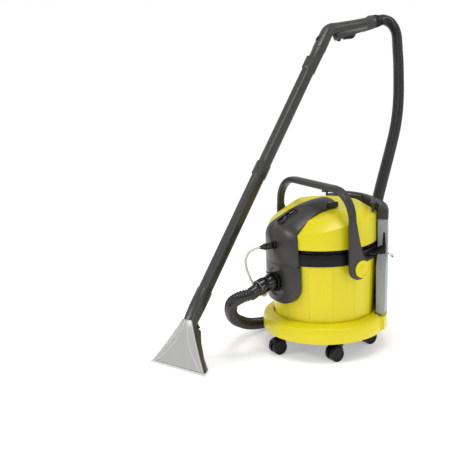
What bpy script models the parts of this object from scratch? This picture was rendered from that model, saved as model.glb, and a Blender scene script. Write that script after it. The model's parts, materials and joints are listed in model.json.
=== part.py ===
"""Spray-extraction canister vacuum with its suction hose, wand and floor nozzle.

Metres, +Z up.  The origin is the centre of the flat base plate, on the machine's axis,
and the machine's front, with the hose inlet, faces -Y.  The floor is CASTER_HEIGHT below
the origin.  Every object in the collection "spray_extraction_cleaner" is one piece of the
machine; the collection "cutters" holds the bodies that cut them.
"""
from math import atan2, cos, hypot, pi, radians, sin, sqrt, tan

import bmesh
import bpy
from mathutils import Matrix, Vector

# ---------------------------------------------------------------- driving dimensions
CLEAR = 0.0003              # gap between pieces that touch
WALL = 0.0035               # moulded wall of the drum and the chassis
PI2 = 2 * pi

# casters
CASTER_HEIGHT = 0.058       # floor to the base plate
CASTER_COUNT = 5
CASTER_INSET = 0.035        # stems inside the skirt's outer face
CASTER_TRAIL = 0.020        # axle behind the stem
WHEEL_RADIUS = 0.022
WHEEL_WIDTH = 0.0115
WHEEL_SIDES = 20
AXLE_RADIUS = 0.003
FORK_WIDTH = 0.009
STEM_RADIUS = 0.0055
STEM_HEIGHT = 0.0235        # how far the stem stands in its boss
BOSS_RADIUS = 0.011

# chassis
BASE_PLATE_THICKNESS = 0.004
PLATE_INSET = 0.0055        # base plate inside the skirt's outer face
SHOULDER_WIDTH = 0.0335     # skirt outside the drum's foot
SKIRT_WALL = 0.0042
BAND_TOP = 0.036            # top of the skirt's upright band
SHOULDER_TOP = 0.0545       # where the shoulder meets the drum
PLATFORM_TOP = 0.030        # the drum stands here
PLATFORM_THICKNESS = 0.004
PLATFORM_WIDTH = 0.020      # ledge on which the drum's edge stands

# drum
DRUM_RADIUS_TOP = 0.1585
DRUM_TAPER = 0.0070         # how much smaller the drum's foot is than its rim
DRUM_RIM = 0.235
STAVES = 14                 # slightly flattened upright panels round the drum
STAVE_DEPTH = 0.0020        # how far a stave's middle lies inside its edges

# suction inlet in the drum's front
INLET_HEIGHT = 0.167
INLET_RADIUS = 0.0180       # bore of the socket
INLET_WALL = 0.0030
INLET_DEPTH = 0.0130        # the socket's inner end, inside the rim's radius
SOCKET_FLANGE = 0.0080      # width and thickness of the socket's flange

# head
GLAND_ANGLE = 110.0         # from the front, towards +X
RING_GAP = 0.0007           # head ring round the drum's rim
RING_WALL = 0.0033
RING_BOTTOM = 0.2255
RING_TOP = 0.2600
DECK_THICKNESS = 0.0055
VENT_TOP = 0.2727           # the cover stands here
VENT_DEPTH = 0.0095         # how far the vent gap is set back
VENT_RIBS = 28
COVER_SET_BACK = 0.0010     # cover inside the ring's outer face
COVER_WALL = 0.0030
COVER_HEIGHT = 0.0773       # the cover's wall behind the machine, up to its crease
CROWN_RISE = 0.0290         # second crease, near the cover's middle, above the first
FRONT_DROP = 0.040          # how much lower the crease lies at the front
PANEL_PROUD = 0.0095        # front panels outside the head ring
PANEL_SEAM = 0.2232         # split between the lower and the upper front panel
LOWER_PANEL_BOTTOM = 0.107
LOWER_PANEL_HALF_WIDTH = 0.0830
LOWER_PANEL_CORNER = 0.050
SPRAY_SOCKET_HEIGHT = 0.278
SPRAY_FLANGE = 0.0070       # the spray socket's face in front of the panel
PLUG_LENGTH = 0.0432        # from the socket's face to the tube

# switches on the upper panel's slope
SWITCH_SET_BACK = 0.047     # middle of the switches behind the panel's face
SWITCH_LENGTH = 0.074
SWITCH_WIDTH = 0.030
BEZEL_DEPTH = 0.0080
BEZEL_FLOOR = 0.0018
ROCKER_FOOT = 0.0019        # radius of a rocker's pivot

# bail handle
PIVOT_HEIGHT = 0.218
EAR_PROUD = 0.0130          # inner face of the bail's feet outside the head ring
BAIL_THICKNESS = 0.0130
BAIL_OFFSET = 0.0275        # upright legs in front of the pivot
BAIL_TOP = 0.440            # centre of the carrying bar
FOOT_LENGTH = 0.132         # from the pivot up to where the legs become slender
BAIL_BAR_WIDTH = 0.0260
BAIL_BAR_HEIGHT = 0.0190
BAIL_CORNER = 0.080
PIN_RADIUS = 0.0070
CAP_RADIUS = 0.0250
CAP_THICKNESS = 0.0038

# clean-water tank behind the drum
TANK_GAP = 0.0040           # between the head ring and the tank
TANK_DEPTH = 0.0290
TANK_SEAT = 0.0442
TANK_TOP = 0.336
TANK_WAIST = 0.200          # the tank starts to narrow here
TANK_LOW_ANGLE = 57.0       # half-angle of the wide lower part, from +Y
TANK_HIGH_ANGLE = 50.0      # half-angle of the upper part
TANK_WALL = 0.0025
LID_HEIGHT = 0.038
RACK_LIFT = 0.0070          # middle of the accessory rack above the crown

# suction parts under and on the deck
CAGE_RADIUS = 0.049
CAGE_BOTTOM = 0.150
FLOAT_RADIUS = 0.040
FILTER_THICKNESS = 0.010
DECK_HOLE = 0.020
MOTOR_RADIUS = 0.052
MOTOR_HEIGHT = 0.068
FAN_RADIUS = 0.062
FAN_BLADES = 8

# wand: the point where its axis meets the floor, its lean and its plan direction
WAND_FOOT = (-0.0485, -0.5203, -CASTER_HEIGHT)
WAND_LEAN = radians(44)
WAND_PLAN = radians(22)
NECK_START = 0.168          # distances along the wand from the floor
NECK_END = 0.274
TUBE_JOINT = 0.735
TUBE_END = 1.165
ELBOW = 1.301
HANDLE_TWIST = radians(-23.5)
ELBOW_BEND = radians(42.6)
ELBOW_RADIUS = 0.045
GRIP_LENGTH = 0.218
CUFF_LENGTH = 0.030
TUBE_RADIUS = 0.0185
TUBE_BORE = 0.0160
SPIGOT_WALL = 0.0022
SPIGOT_LENGTH = 0.034
KEEL_DEPTH = 0.0240         # front face of the spray channel from the tube's axis
KEEL_HALF_WIDTH = 0.0110
TRIGGER_WIDTH = 0.0130
SOCKET_BACK = TUBE_RADIUS + 0.0026      # back of the tube's wider end, from the wand's axis
NECK_BACK = 0.0220                      # back of the nozzle's neck
LATCH_WIDTH = 0.0120
LATCH_LENGTH = 0.0220
LATCH_TRAVEL = 0.0020
LATCH_POCKET = 0.0030

# floor nozzle, in its own upright frame with the lip's middle at the origin
NOZZLE_ORIGIN = (-0.0660, -0.4770, -CASTER_HEIGHT)
NOZZLE_WIDTH = 0.207
WINDOW_HEIGHT = 0.1354
WINDOW_RUN = 0.0549
WINDOW_THICKNESS = 0.0030
WINDOW_TOP_HALF = 0.0180
LIP_HEIGHT = 0.0060
NOZZLE_AXIS_Y = -0.0467     # where the wand's axis meets the floor in this frame

# hose and spray tube
HOSE_RADIUS = 0.019
SPRAY_TUBE_RADIUS = 0.0035
CONNECTOR_REACH = 0.0660    # end of the connector in front of the panels
CONNECTOR_DROP = 0.0139     # and under the socket's axis
CONNECTOR_WAY = (0.0, -0.922, -0.387)       # direction in which the hose leaves the machine
HOSE_ROUTE = [
    (-0.0150, -0.2835, 0.1360), (-0.0410, -0.2965, 0.1160), (-0.0635, -0.2910, 0.0890), (-0.0850, -0.2770, 0.0640),
    (-0.1060, -0.2575, 0.0420), (-0.1270, -0.2350, 0.0240), (-0.1480, -0.2100, 0.0080), (-0.1785, -0.1630, -0.0180),
    (-0.2040, -0.0970, -0.0360), (-0.2180, -0.0245, -0.0382), (-0.2160, 0.0490, -0.0382), (-0.1975, 0.1205, -0.0382),
    (-0.1670, 0.1870, -0.0320), (-0.1260, 0.2400, -0.0060), (-0.0940, 0.2675, 0.0515), (-0.0865, 0.2685, 0.1250),
    (-0.0795, 0.2605, 0.1975), (-0.0880, 0.2695, 0.2695), (-0.1120, 0.3050, 0.3295), (-0.1395, 0.3475, 0.3835),
    (-0.1675, 0.3910, 0.4360), (-0.1950, 0.4340, 0.4890), (-0.2230, 0.4755, 0.5435), (-0.2570, 0.5150, 0.5955),
    (-0.2950, 0.5520, 0.6470), (-0.3335, 0.5855, 0.7000), (-0.3650, 0.6110, 0.7560), (-0.3840, 0.6240, 0.7960),
    (-0.3945, 0.6305, 0.8260), (-0.4010, 0.6325, 0.8510), (-0.4070, 0.6265, 0.8750), (-0.4125, 0.6105, 0.8955),
]
SPRAY_ROUTE = [
    (0.000, -0.2228, 0.2780), (0.000, -0.2290, 0.2780), (-0.008, -0.2400, 0.2735), (-0.026, -0.246, 0.2590),
    (-0.045, -0.245, 0.2330), (-0.052, -0.238, 0.2050), (-0.045, -0.232, 0.1800), (-0.033, -0.226, 0.1560),
    (-0.024, -0.217, 0.1370), (-0.012, -0.208, 0.1275), (-0.001, -0.2040, 0.1330), (0.000, -0.2035, 0.1415),
]

# derived levels and radii
DRUM_RADIUS_LOW = DRUM_RADIUS_TOP - DRUM_TAPER
SKIRT_RADIUS = DRUM_RADIUS_LOW + SHOULDER_WIDTH
BASE_PLATE_RADIUS = SKIRT_RADIUS - PLATE_INSET
CASTER_CIRCLE = SKIRT_RADIUS - CASTER_INSET
HEAD_RADIUS = DRUM_RADIUS_TOP + RING_GAP + RING_WALL
COVER_RADIUS = HEAD_RADIUS - COVER_SET_BACK
PANEL_RADIUS = HEAD_RADIUS + PANEL_PROUD
SOCKET_FACE = PANEL_RADIUS + SOCKET_FLANGE
INLET_INNER = DRUM_RADIUS_TOP - INLET_DEPTH
SWITCH_Y = SWITCH_SET_BACK - PANEL_RADIUS
CREASE_HEIGHT = VENT_TOP + COVER_HEIGHT
CROWN_HEIGHT = CREASE_HEIGHT + CROWN_RISE
BAIL_INNER_X = HEAD_RADIUS + EAR_PROUD
TANK_INNER_RADIUS = HEAD_RADIUS + TANK_GAP
TANK_OUTER_RADIUS = TANK_INNER_RADIUS + TANK_DEPTH
LEDGE_RADIUS = TANK_OUTER_RADIUS - 0.0030
RACK_HEIGHT = CROWN_HEIGHT + RACK_LIFT
CONNECTOR_END = (0, -PANEL_RADIUS - CONNECTOR_REACH, INLET_HEIGHT - CONNECTOR_DROP)
DECK_BOTTOM = DRUM_RIM + 0.0035
DECK_TOP = DECK_BOTTOM + DECK_THICKNESS
DRUM_FLOOR = PLATFORM_TOP + CLEAR
CAP_X = BAIL_INNER_X + BAIL_THICKNESS + 0.0004
COVER_LEVELS = [(COVER_RADIUS, VENT_TOP + CLEAR, 0),        # radius, height, drop at the front
                (COVER_RADIUS + 0.0003, CREASE_HEIGHT, FRONT_DROP),
                (COVER_RADIUS - 0.0465, CROWN_HEIGHT, 0.85 * FRONT_DROP),
                (COVER_RADIUS - 0.0915, CROWN_HEIGHT - 0.0075, 0.3 * FRONT_DROP),
                (0.0120, CROWN_HEIGHT - 0.0080, 0)]
YZ_PLANE = Matrix(((0, 0, 1, 0), (1, 0, 0, 0), (0, 1, 0, 0), (0, 0, 0, 1)))
TOWARDS_FRONT = (pi / 2, 0, 0)      # turns a piece's own +Z to -Y


# ---------------------------------------------------------------- tools
def clear_scene():
    for obj in list(bpy.data.objects):
        bpy.data.objects.remove(obj, do_unlink=True)


def make_collection(name):
    collection = bpy.data.collections.new(name)
    bpy.context.scene.collection.children.link(collection)
    return collection


def make_material(name, color, roughness, metallic=0.0):
    material = bpy.data.materials.new(name)
    material.use_nodes = True
    shader = material.node_tree.nodes["Principled BSDF"]
    shader.inputs["Base Color"].default_value = (*color, 1)
    shader.inputs["Roughness"].default_value = roughness
    shader.inputs["Metallic"].default_value = metallic
    return material


clear_scene()
PARTS = make_collection("spray_extraction_cleaner")
CUTTERS = make_collection("cutters")
YELLOW = make_material("yellow_plastic", (0.83, 0.71, 0.02), 0.35)
GREY = make_material("dark_grey_plastic", (0.10, 0.10, 0.095), 0.45)
BLACK = make_material("black_plastic", (0.02, 0.02, 0.02), 0.50)
WAND_GREY = make_material("wand_grey_plastic", (0.09, 0.09, 0.085), 0.42)
TANK_BLUE = make_material("clouded_tank_plastic", (0.46, 0.50, 0.54), 0.35)
WINDOW_CLEAR = make_material("clear_window_plastic", (0.55, 0.55, 0.55), 0.15)
LIP_WHITE = make_material("pale_lip_plastic", (0.80, 0.80, 0.80), 0.35)
TUBE_CLEAR = make_material("clear_tube_plastic", (0.75, 0.75, 0.72), 0.25)
HOSE_BLACK = make_material("hose_plastic", (0.03, 0.03, 0.028), 0.45)
RUBBER = make_material("seal_rubber", (0.03, 0.03, 0.03), 0.80)
FOAM = make_material("filter_foam", (0.20, 0.20, 0.22), 0.95)
STEEL = make_material("steel", (0.55, 0.55, 0.56), 0.30, 1.0)
MOTOR_METAL = make_material("motor_casing", (0.45, 0.45, 0.47), 0.40, 0.8)
SWITCH_BLACK = make_material("switch_black", (0.04, 0.04, 0.04), 0.30)


def add(name, data, material, location=(0, 0, 0), rotation=(0, 0, 0), parent=None):
    """Place mesh or curve data as one named piece."""
    obj = bpy.data.objects.new(name, data)
    PARTS.objects.link(obj)
    obj.location = location
    obj.rotation_euler = rotation
    obj.parent = parent
    data.materials.append(material)
    if isinstance(data, bpy.types.Mesh) and data.polygons:
        data.shade_smooth()
        data.set_sharp_from_angle(angle=radians(35))
    return obj


def as_cutter(obj):
    PARTS.objects.unlink(obj)
    CUTTERS.objects.link(obj)
    obj.hide_render = True
    obj.display_type = 'WIRE'
    return obj


def combine(obj, other, operation):
    """Boolean of obj with another body, which becomes a cutter."""
    modifier = obj.modifiers.new(operation.lower(), 'BOOLEAN')
    modifier.operation = operation
    modifier.object = as_cutter(other)
    return obj


def cut(obj, *cutters):
    for cutter in cutters:
        combine(obj, cutter, 'DIFFERENCE')
    return obj


def fuse(obj, *others):
    for other in others:
        combine(obj, other, 'UNION')
    return obj


def turned(name, profile, material, steps=32, ring=False, **place):
    """Turned about Z: (radius, height) pairs run down the outer side; a ring's profile is closed."""
    mesh = bpy.data.meshes.new(name)
    edges = [(i, i + 1) for i in range(len(profile) - 1)]
    if ring:
        edges.append((len(profile) - 1, 0))
    mesh.from_pydata([(radius, 0, height) for radius, height in profile], edges, [])
    obj = add(name, mesh, material, **place)
    screw = obj.modifiers.new("turn", 'SCREW')
    screw.steps = steps
    screw.render_steps = steps
    screw.use_merge_vertices = True
    screw.merge_threshold = 0.00001
    screw.use_smooth_shade = True
    return obj


def cylinder(name, radius, bottom, top, material=None, steps=24, **place):
    profile = [(0, top), (radius, top), (radius, bottom), (0, bottom)]
    return turned(name, profile, material or BLACK, steps, **place)


def bore(radius, steps=24):
    """Radius of a faceted hole whose flats clear a shaft of this radius."""
    return (radius + CLEAR) / cos(pi / steps)


def box(name, low, high, material=None, **place):
    bm = bmesh.new()
    bmesh.ops.create_cube(bm, size=1.0)
    size = Vector(high) - Vector(low)
    middle = (Vector(high) + Vector(low)) / 2
    bmesh.ops.transform(bm, matrix=Matrix.Translation(middle) @ Matrix.Diagonal((*size, 1)), verts=bm.verts)
    return add(name, finished(bm, name), material or BLACK, **place)


def finished(bm, name):
    bmesh.ops.recalc_face_normals(bm, faces=bm.faces)
    mesh = bpy.data.meshes.new(name)
    bm.to_mesh(mesh)
    bm.free()
    return mesh


def loft(name, rings, closed=False):
    """Skin between rings of equally many points; the ends are capped, or meet when closed."""
    bm = bmesh.new()
    rows = [[bm.verts.new(point) for point in ring] for ring in rings]
    pairs = list(zip(rows, rows[1:]))
    if closed:
        pairs.append((rows[-1], rows[0]))
    for low, high in pairs:
        for i in range(len(low)):
            j = (i + 1) % len(low)
            bm.faces.new((low[i], low[j], high[j], high[i]))
    if not closed:
        bm.faces.new(rows[0])
        bm.faces.new(rows[-1])
    return finished(bm, name)


def outline_solid(name, outline, thickness, holes=()):
    """A flat outline in XY, extruded to a thickness centred on Z = 0, as a welded mesh."""
    curve = bpy.data.curves.new(name, 'CURVE')
    curve.dimensions = '2D'
    curve.fill_mode = 'BOTH'
    curve.extrude = thickness / 2
    for loop in (outline, *holes):
        spline = curve.splines.new('POLY')
        spline.points.add(len(loop) - 1)
        for point, (x, y) in zip(spline.points, loop):
            point.co = (x, y, 0, 1)
        spline.use_cyclic_u = True
    flat = bpy.data.objects.new(name, curve)
    PARTS.objects.link(flat)
    mesh = bpy.data.meshes.new_from_object(flat.evaluated_get(bpy.context.evaluated_depsgraph_get()))
    bpy.data.objects.remove(flat, do_unlink=True)
    bm = bmesh.new()
    bm.from_mesh(mesh)
    bmesh.ops.remove_doubles(bm, verts=bm.verts, dist=0.00001)
    bm.to_mesh(mesh)
    bm.free()
    return mesh


def side_plate(name, outline, x, thickness, material, parent=None, holes=()):
    """A plate with its outline in (y, z), centred on x."""
    mesh = outline_solid(name, outline, thickness, holes)
    mesh.transform(Matrix.Translation((x, 0, 0)) @ YZ_PLANE)
    return add(name, mesh, material, parent=parent)


def arc(radius, start, end, count, centre=(0, 0)):
    """Points on an arc, with its angles in degrees, ends included."""
    angles = [radians(start + (end - start) * i / (count - 1)) for i in range(count)]
    return [(centre[0] + radius * cos(a), centre[1] + radius * sin(a)) for a in angles]


def tube(name, points, radius, material, resolution=2, parent=None):
    """A round tube or wire along a list of points, with filled ends."""
    curve = bpy.data.curves.new(name, 'CURVE')
    curve.dimensions = '3D'
    curve.bevel_depth = radius
    curve.bevel_resolution = resolution
    curve.use_fill_caps = True
    spline = curve.splines.new('POLY')
    spline.points.add(len(points) - 1)
    for point, place in zip(spline.points, points):
        point.co = (*place, 1)
    return add(name, curve, material, parent=parent)


def smooth_path(route, spacing):
    """Points about spacing apart on a Catmull-Rom curve through a route."""
    knots = [Vector(point) for point in route]
    knots = [2 * knots[0] - knots[1]] + knots + [2 * knots[-1] - knots[-2]]
    path = []
    for before, start, end, after in zip(knots, knots[1:], knots[2:], knots[3:]):
        steps = max(1, round((end - start).length / spacing))
        for i in range(steps):
            t = i / steps
            path.append(0.5 * (2 * start + (end - before) * t
                               + (2 * before - 5 * start + 4 * end - after) * t ** 2
                               + (3 * start - 3 * end + after - before) * t ** 3))
    path.append(knots[-2])
    return path


def circle_ring(centre, direction, radius, count=20, side=(1, 0, 0)):
    """A ring of points round a direction; its first point lies towards side."""
    axis = Vector(direction).normalized()
    right = Vector(side)
    right = (right - axis * right.dot(axis)).normalized()
    up = axis.cross(right)
    return [Vector(centre) + radius * (right * cos(PI2 * i / count) + up * sin(PI2 * i / count))
            for i in range(count)]


def empty(name, location, rotation, parent=None):
    """A frame that carries a group of pieces."""
    obj = bpy.data.objects.new(name, None)
    PARTS.objects.link(obj)
    obj.location = location
    obj.rotation_euler = rotation
    obj.parent = parent
    return obj


def around(angle_degrees, radius, z=0.0):
    """A point at an angle from the front (-Y), counted towards +X."""
    angle = radians(angle_degrees)
    return Vector((radius * sin(angle), -radius * cos(angle), z))


# ---------------------------------------------------------------- chassis and casters
def caster_places():
    return [around(360 * i / CASTER_COUNT, CASTER_CIRCLE) for i in range(CASTER_COUNT)]


def crescent(z, inner, outer, half_angle, count=11):
    """A closed loop round the back of the drum: an arc out, and an arc back inside it."""
    angles = [radians(half_angle * (2 * i / (count - 1) - 1)) for i in range(count)]
    loop = [Vector((outer * sin(a), outer * cos(a), z)) for a in angles]
    return loop + [Vector((inner * sin(a), inner * cos(a), z)) for a in reversed(angles)]


def crescent_block(name, inner, outer, bottom, top, half_angle, material=None):
    rings = [crescent(bottom, inner, outer, half_angle), crescent(top, inner, outer, half_angle)]
    return add(name, loft(name, rings), material or BLACK)


def build_chassis():
    groove = CASTER_CIRCLE - 0.032
    plate = turned("base_plate", [(0, BASE_PLATE_THICKNESS), (BASE_PLATE_RADIUS, BASE_PLATE_THICKNESS),
                                  (BASE_PLATE_RADIUS, 0), (groove, 0), (groove, 0.0012), (groove - 0.010, 0.0012),
                                  (groove - 0.010, 0), (0, 0)], BLACK, 40)
    shoulder = [(DRUM_RADIUS_LOW + 0.0012, PLATFORM_TOP), (DRUM_RADIUS_LOW + 0.0012, SHOULDER_TOP - 0.001),
                (DRUM_RADIUS_LOW + 0.0027, SHOULDER_TOP)]
    inside = SKIRT_RADIUS - SKIRT_WALL
    wall = DRUM_RADIUS_LOW + 0.0045
    ledge = DRUM_RADIUS_LOW - PLATFORM_WIDTH
    profile = [(ledge, PLATFORM_TOP), *shoulder,
               (SKIRT_RADIUS - 0.0130, SHOULDER_TOP - 0.0040), (SKIRT_RADIUS - 0.0035, SHOULDER_TOP - 0.0095),
               (SKIRT_RADIUS, BAND_TOP), (SKIRT_RADIUS, 0.0040), (SKIRT_RADIUS - 0.0015, 0.0005),
               (inside, 0.0005), (inside, BAND_TOP - 0.0020), (wall, SHOULDER_TOP - 0.0065),
               (wall, PLATFORM_TOP - PLATFORM_THICKNESS),
               (ledge, PLATFORM_TOP - PLATFORM_THICKNESS)]
    chassis = turned("wheel_chassis", profile, YELLOW, 40, ring=True)
    fuse(chassis,
         crescent_block("ledge_band", SKIRT_RADIUS - 0.0042, LEDGE_RADIUS, BASE_PLATE_THICKNESS + 0.001,
                        TANK_SEAT + 0.002, TANK_LOW_ANGLE + 0.6),
         crescent_block("ledge_shelf", wall - 0.001, SKIRT_RADIUS - 0.002, TANK_SEAT - 0.004,
                        TANK_SEAT + 0.002, TANK_LOW_ANGLE + 0.6))
    cut(chassis, crescent_block("tank_pocket", TANK_INNER_RADIUS - 0.005, LEDGE_RADIUS + 0.02, TANK_SEAT,
                                SHOULDER_TOP + 0.02, TANK_LOW_ANGLE + 1.2))
    cut(chassis, cylinder("valve_well", 0.0125, TANK_SEAT - 0.0125, TANK_SEAT + 0.01,
                          location=(0, (TANK_INNER_RADIUS + TANK_OUTER_RADIUS) / 2, 0)))
    for number, place in enumerate(caster_places(), 1):
        fuse(chassis, cylinder(f"boss_{number}", BOSS_RADIUS, BASE_PLATE_THICKNESS + CLEAR,
                               PLATFORM_TOP - PLATFORM_THICKNESS / 2, steps=10, location=place))
    for number, place in enumerate(caster_places(), 1):
        hole = bore(STEM_RADIUS, 12)
        cut(chassis, cylinder(f"stem_bore_{number}", hole, -0.01, STEM_HEIGHT + 0.001, steps=12, location=place))
        cut(plate, cylinder(f"plate_hole_{number}", hole + 0.0015, -0.01, 0.02, steps=14, location=place))


def wheel_profile():
    """Two discs on one axle, turned about the axle; heights run along it."""
    inner = FORK_WIDTH / 2 + 0.0005
    outer = inner + WHEEL_WIDTH
    half = [(0, outer), (WHEEL_RADIUS - 0.0040, outer), (WHEEL_RADIUS, outer - 0.0028), (WHEEL_RADIUS, inner),
            (AXLE_RADIUS, inner)]
    return half + [(radius, -height) for radius, height in reversed(half)]


def fork_mesh():
    """Web between the wheels, guard over them and stem above, with the stem's axis on Z."""
    axle = (-CASTER_TRAIL, WHEEL_RADIUS - CASTER_HEIGHT)
    web = [*arc(0.0085, 150, 360, 7, axle), (-0.0005, -0.034), (0.0100, -0.014), (0.0100, -0.0050),
           (-0.0100, -0.0050), (-0.0210, -0.0160)]
    guard_out = WHEEL_RADIUS + 0.0035
    guard_in = WHEEL_RADIUS + 0.0010
    guard = arc(guard_out, 28, 150, 7, axle) + arc(guard_in, 150, 28, 7, axle)
    return web, guard


def build_casters():
    web_outline, guard_outline = fork_mesh()
    for number, place in enumerate(caster_places(), 1):
        fork = side_plate(f"caster_fork_{number}", web_outline, 0, FORK_WIDTH, BLACK)
        guard = side_plate(f"guard_{number}", guard_outline, 0, FORK_WIDTH + 2 * WHEEL_WIDTH - 0.002, BLACK)
        collar = cylinder(f"collar_{number}", 0.0115, -0.0080, -CLEAR, steps=12, location=place)
        stem = cylinder(f"stem_{number}", STEM_RADIUS, -0.0050, STEM_HEIGHT, steps=12, location=place)
        hole = cylinder(f"axle_hole_{number}", bore(AXLE_RADIUS, 12), -0.03, 0.03, steps=12,
                        location=(0, -CASTER_TRAIL, WHEEL_RADIUS - CASTER_HEIGHT), rotation=(0, pi / 2, 0))
        fork.location = place
        guard.location = place
        hole.location += place
        fuse(fork, guard, collar, stem)
        cut(fork, hole)
        axle = place + Vector((0, -CASTER_TRAIL, WHEEL_RADIUS - CASTER_HEIGHT))
        turned(f"caster_wheels_{number}", wheel_profile(), BLACK, WHEEL_SIDES,
               location=axle, rotation=(0, pi / 2, 0))


# ---------------------------------------------------------------- drum
def staved_ring(radius, z):
    """A ring with one vertex on each stave's edge and two inside it, a little nearer the axis."""
    ring = []
    for i in range(3 * STAVES):
        local = radius if i % 3 == 0 else radius - STAVE_DEPTH
        ring.append(around(360 * (i + 1.5) / (3 * STAVES), local, z))
    return ring


def build_drum():
    levels = [(DRUM_RADIUS_LOW - 0.0080, DRUM_FLOOR), (DRUM_RADIUS_LOW - 0.0012, DRUM_FLOOR + 0.0070),
              (DRUM_RADIUS_LOW, SHOULDER_TOP), (DRUM_RADIUS_TOP, DRUM_RIM)]
    outer = [staved_ring(radius, z) for radius, z in levels]
    inner = [staved_ring(radius - WALL, z) for radius, z in levels[1:]]
    floor = staved_ring(levels[0][0] - WALL, DRUM_FLOOR + WALL)
    drum = add("drum_tub", loft("drum_tub", [*outer, *reversed(inner), floor]), YELLOW)
    socket = INLET_RADIUS + INLET_WALL
    cut(drum, cylinder("drum_inlet_hole", bore(socket, 32), INLET_INNER - 0.02, PANEL_RADIUS + 0.02, steps=32,
                       location=(0, 0, INLET_HEIGHT), rotation=TOWARDS_FRONT))
    flange = [(socket + SOCKET_FLANGE, SOCKET_FACE), (socket + SOCKET_FLANGE, PANEL_RADIUS + CLEAR),
              (socket, PANEL_RADIUS + CLEAR), (socket, INLET_INNER), (INLET_RADIUS, INLET_INNER),
              (INLET_RADIUS, SOCKET_FACE)]
    turned("inlet_socket", flange, BLACK, 32, ring=True, location=(0, 0, INLET_HEIGHT), rotation=TOWARDS_FRONT)
    inner_end = CLEAR - INLET_INNER
    top = INLET_HEIGHT + socket
    centre = (inner_end + 0.0052, top - 0.0365)
    deflector = [(inner_end, top - 0.003), (inner_end, top - 0.0005), *arc(0.036, 90, 0, 7, centre),
                 (centre[0] + 0.0360, INLET_HEIGHT - 0.030), (centre[0] + 0.0335, INLET_HEIGHT - 0.030),
                 *arc(0.0335, 0, 90, 7, centre)]
    side_plate("inlet_deflector", deflector, 0, 0.046, GREY)


# ---------------------------------------------------------------- front panels
def panel_ring(y, z, tilt, half_width, radius, thickness, count=9):
    """A section of a panel across the machine: an outer arc and an inner arc under it.

    The section's middle is (y, z), tilt turns its outward normal up from -Y, and radius is
    the outer arc's.
    """
    normal = Vector((0, -cos(tilt), sin(tilt)))
    middle = Vector((0, y, z))
    outer = []
    inner = []
    for i in range(count):
        x = half_width * (2 * i / (count - 1) - 1)
        drop = radius - sqrt(radius ** 2 - x ** 2)
        low = radius - thickness
        low_drop = thickness + low - sqrt(low ** 2 - x ** 2)
        outer.append(middle + Vector((x, 0, 0)) - normal * drop)
        inner.append(middle + Vector((x, 0, 0)) - normal * low_drop)
    return outer + inner[::-1]


def build_lower_panel():
    top = PANEL_SEAM - 0.0006
    corner = LOWER_PANEL_CORNER
    start = LOWER_PANEL_BOTTOM + corner
    thickness = PANEL_RADIUS - DRUM_RADIUS_TOP - 0.0010
    stations = [(top, LOWER_PANEL_HALF_WIDTH), (start, LOWER_PANEL_HALF_WIDTH)]
    for i in range(1, 7):
        angle = radians(15 * i)
        stations.append((start - corner * sin(angle), LOWER_PANEL_HALF_WIDTH - corner * (1 - cos(angle))))
    rings = [panel_ring(-PANEL_RADIUS, z, 0, width, PANEL_RADIUS, thickness) for z, width in stations]
    panel = add("lower_front_panel", loft("lower_front_panel", rings), GREY)
    cut(panel, cylinder("panel_inlet_hole", bore(INLET_RADIUS + INLET_WALL, 32), INLET_INNER, SOCKET_FACE, steps=32,
                        location=(0, 0, INLET_HEIGHT), rotation=TOWARDS_FRONT))


# upper panel: y, z, tilt of the normal, half-width, arc radius and thickness of each section
def upper_panel_stations():
    front = -PANEL_RADIUS
    inner = PANEL_PROUD - 0.0006
    return [(front, PANEL_SEAM, 0, 0.0800, PANEL_RADIUS, inner),
            (front, CREASE_HEIGHT - 0.0540, 0, 0.0780, PANEL_RADIUS, inner),
            (front + 0.0050, CREASE_HEIGHT - 0.0300, 24, 0.0765, 0.160, 0.0105),
            (front + 0.0170, CREASE_HEIGHT - 0.0110, 44, 0.0740, 0.145, 0.0120),
            (front + 0.0340, CROWN_HEIGHT - 0.0280, 59, 0.0710, 0.135, 0.0125),
            (front + 0.0620, CROWN_HEIGHT - 0.0145, 65, 0.0660, 0.125, 0.0125),
            (front + 0.0920, CROWN_HEIGHT - 0.0020, 70, 0.0600, 0.118, 0.0125),
            (front + 0.1270, CROWN_HEIGHT + 0.0085, 77, 0.0530, 0.110, 0.0120),
            (front + 0.1600, CROWN_HEIGHT + 0.0140, 84, 0.0510, 0.108, 0.0120),
            (front + 0.1800, CROWN_HEIGHT + 0.0155, 88, 0.0560, 0.118, 0.0120),
            (front + 0.1920, CROWN_HEIGHT + 0.0155, 90, 0.0500, 0.118, 0.0120)]


def switch_frame():
    """Middle of the switch recess on the panel's slope, with +Z out of the panel and +Y up it."""
    low, high = upper_panel_stations()[4], upper_panel_stations()[5]
    slope = atan2(high[1] - low[1], high[0] - low[0])
    z = low[1] + (SWITCH_Y - low[0]) * (high[1] - low[1]) / (high[0] - low[0])
    return (0, SWITCH_Y, z), (slope, 0, 0)


def oval(length, width, count=9):
    """A loop with round ends, long in Y."""
    radius = width / 2
    middle = length / 2 - radius
    return arc(radius, 0, 180, count, (0, middle)) + arc(radius, 180, 360, count, (0, -middle))


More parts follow.
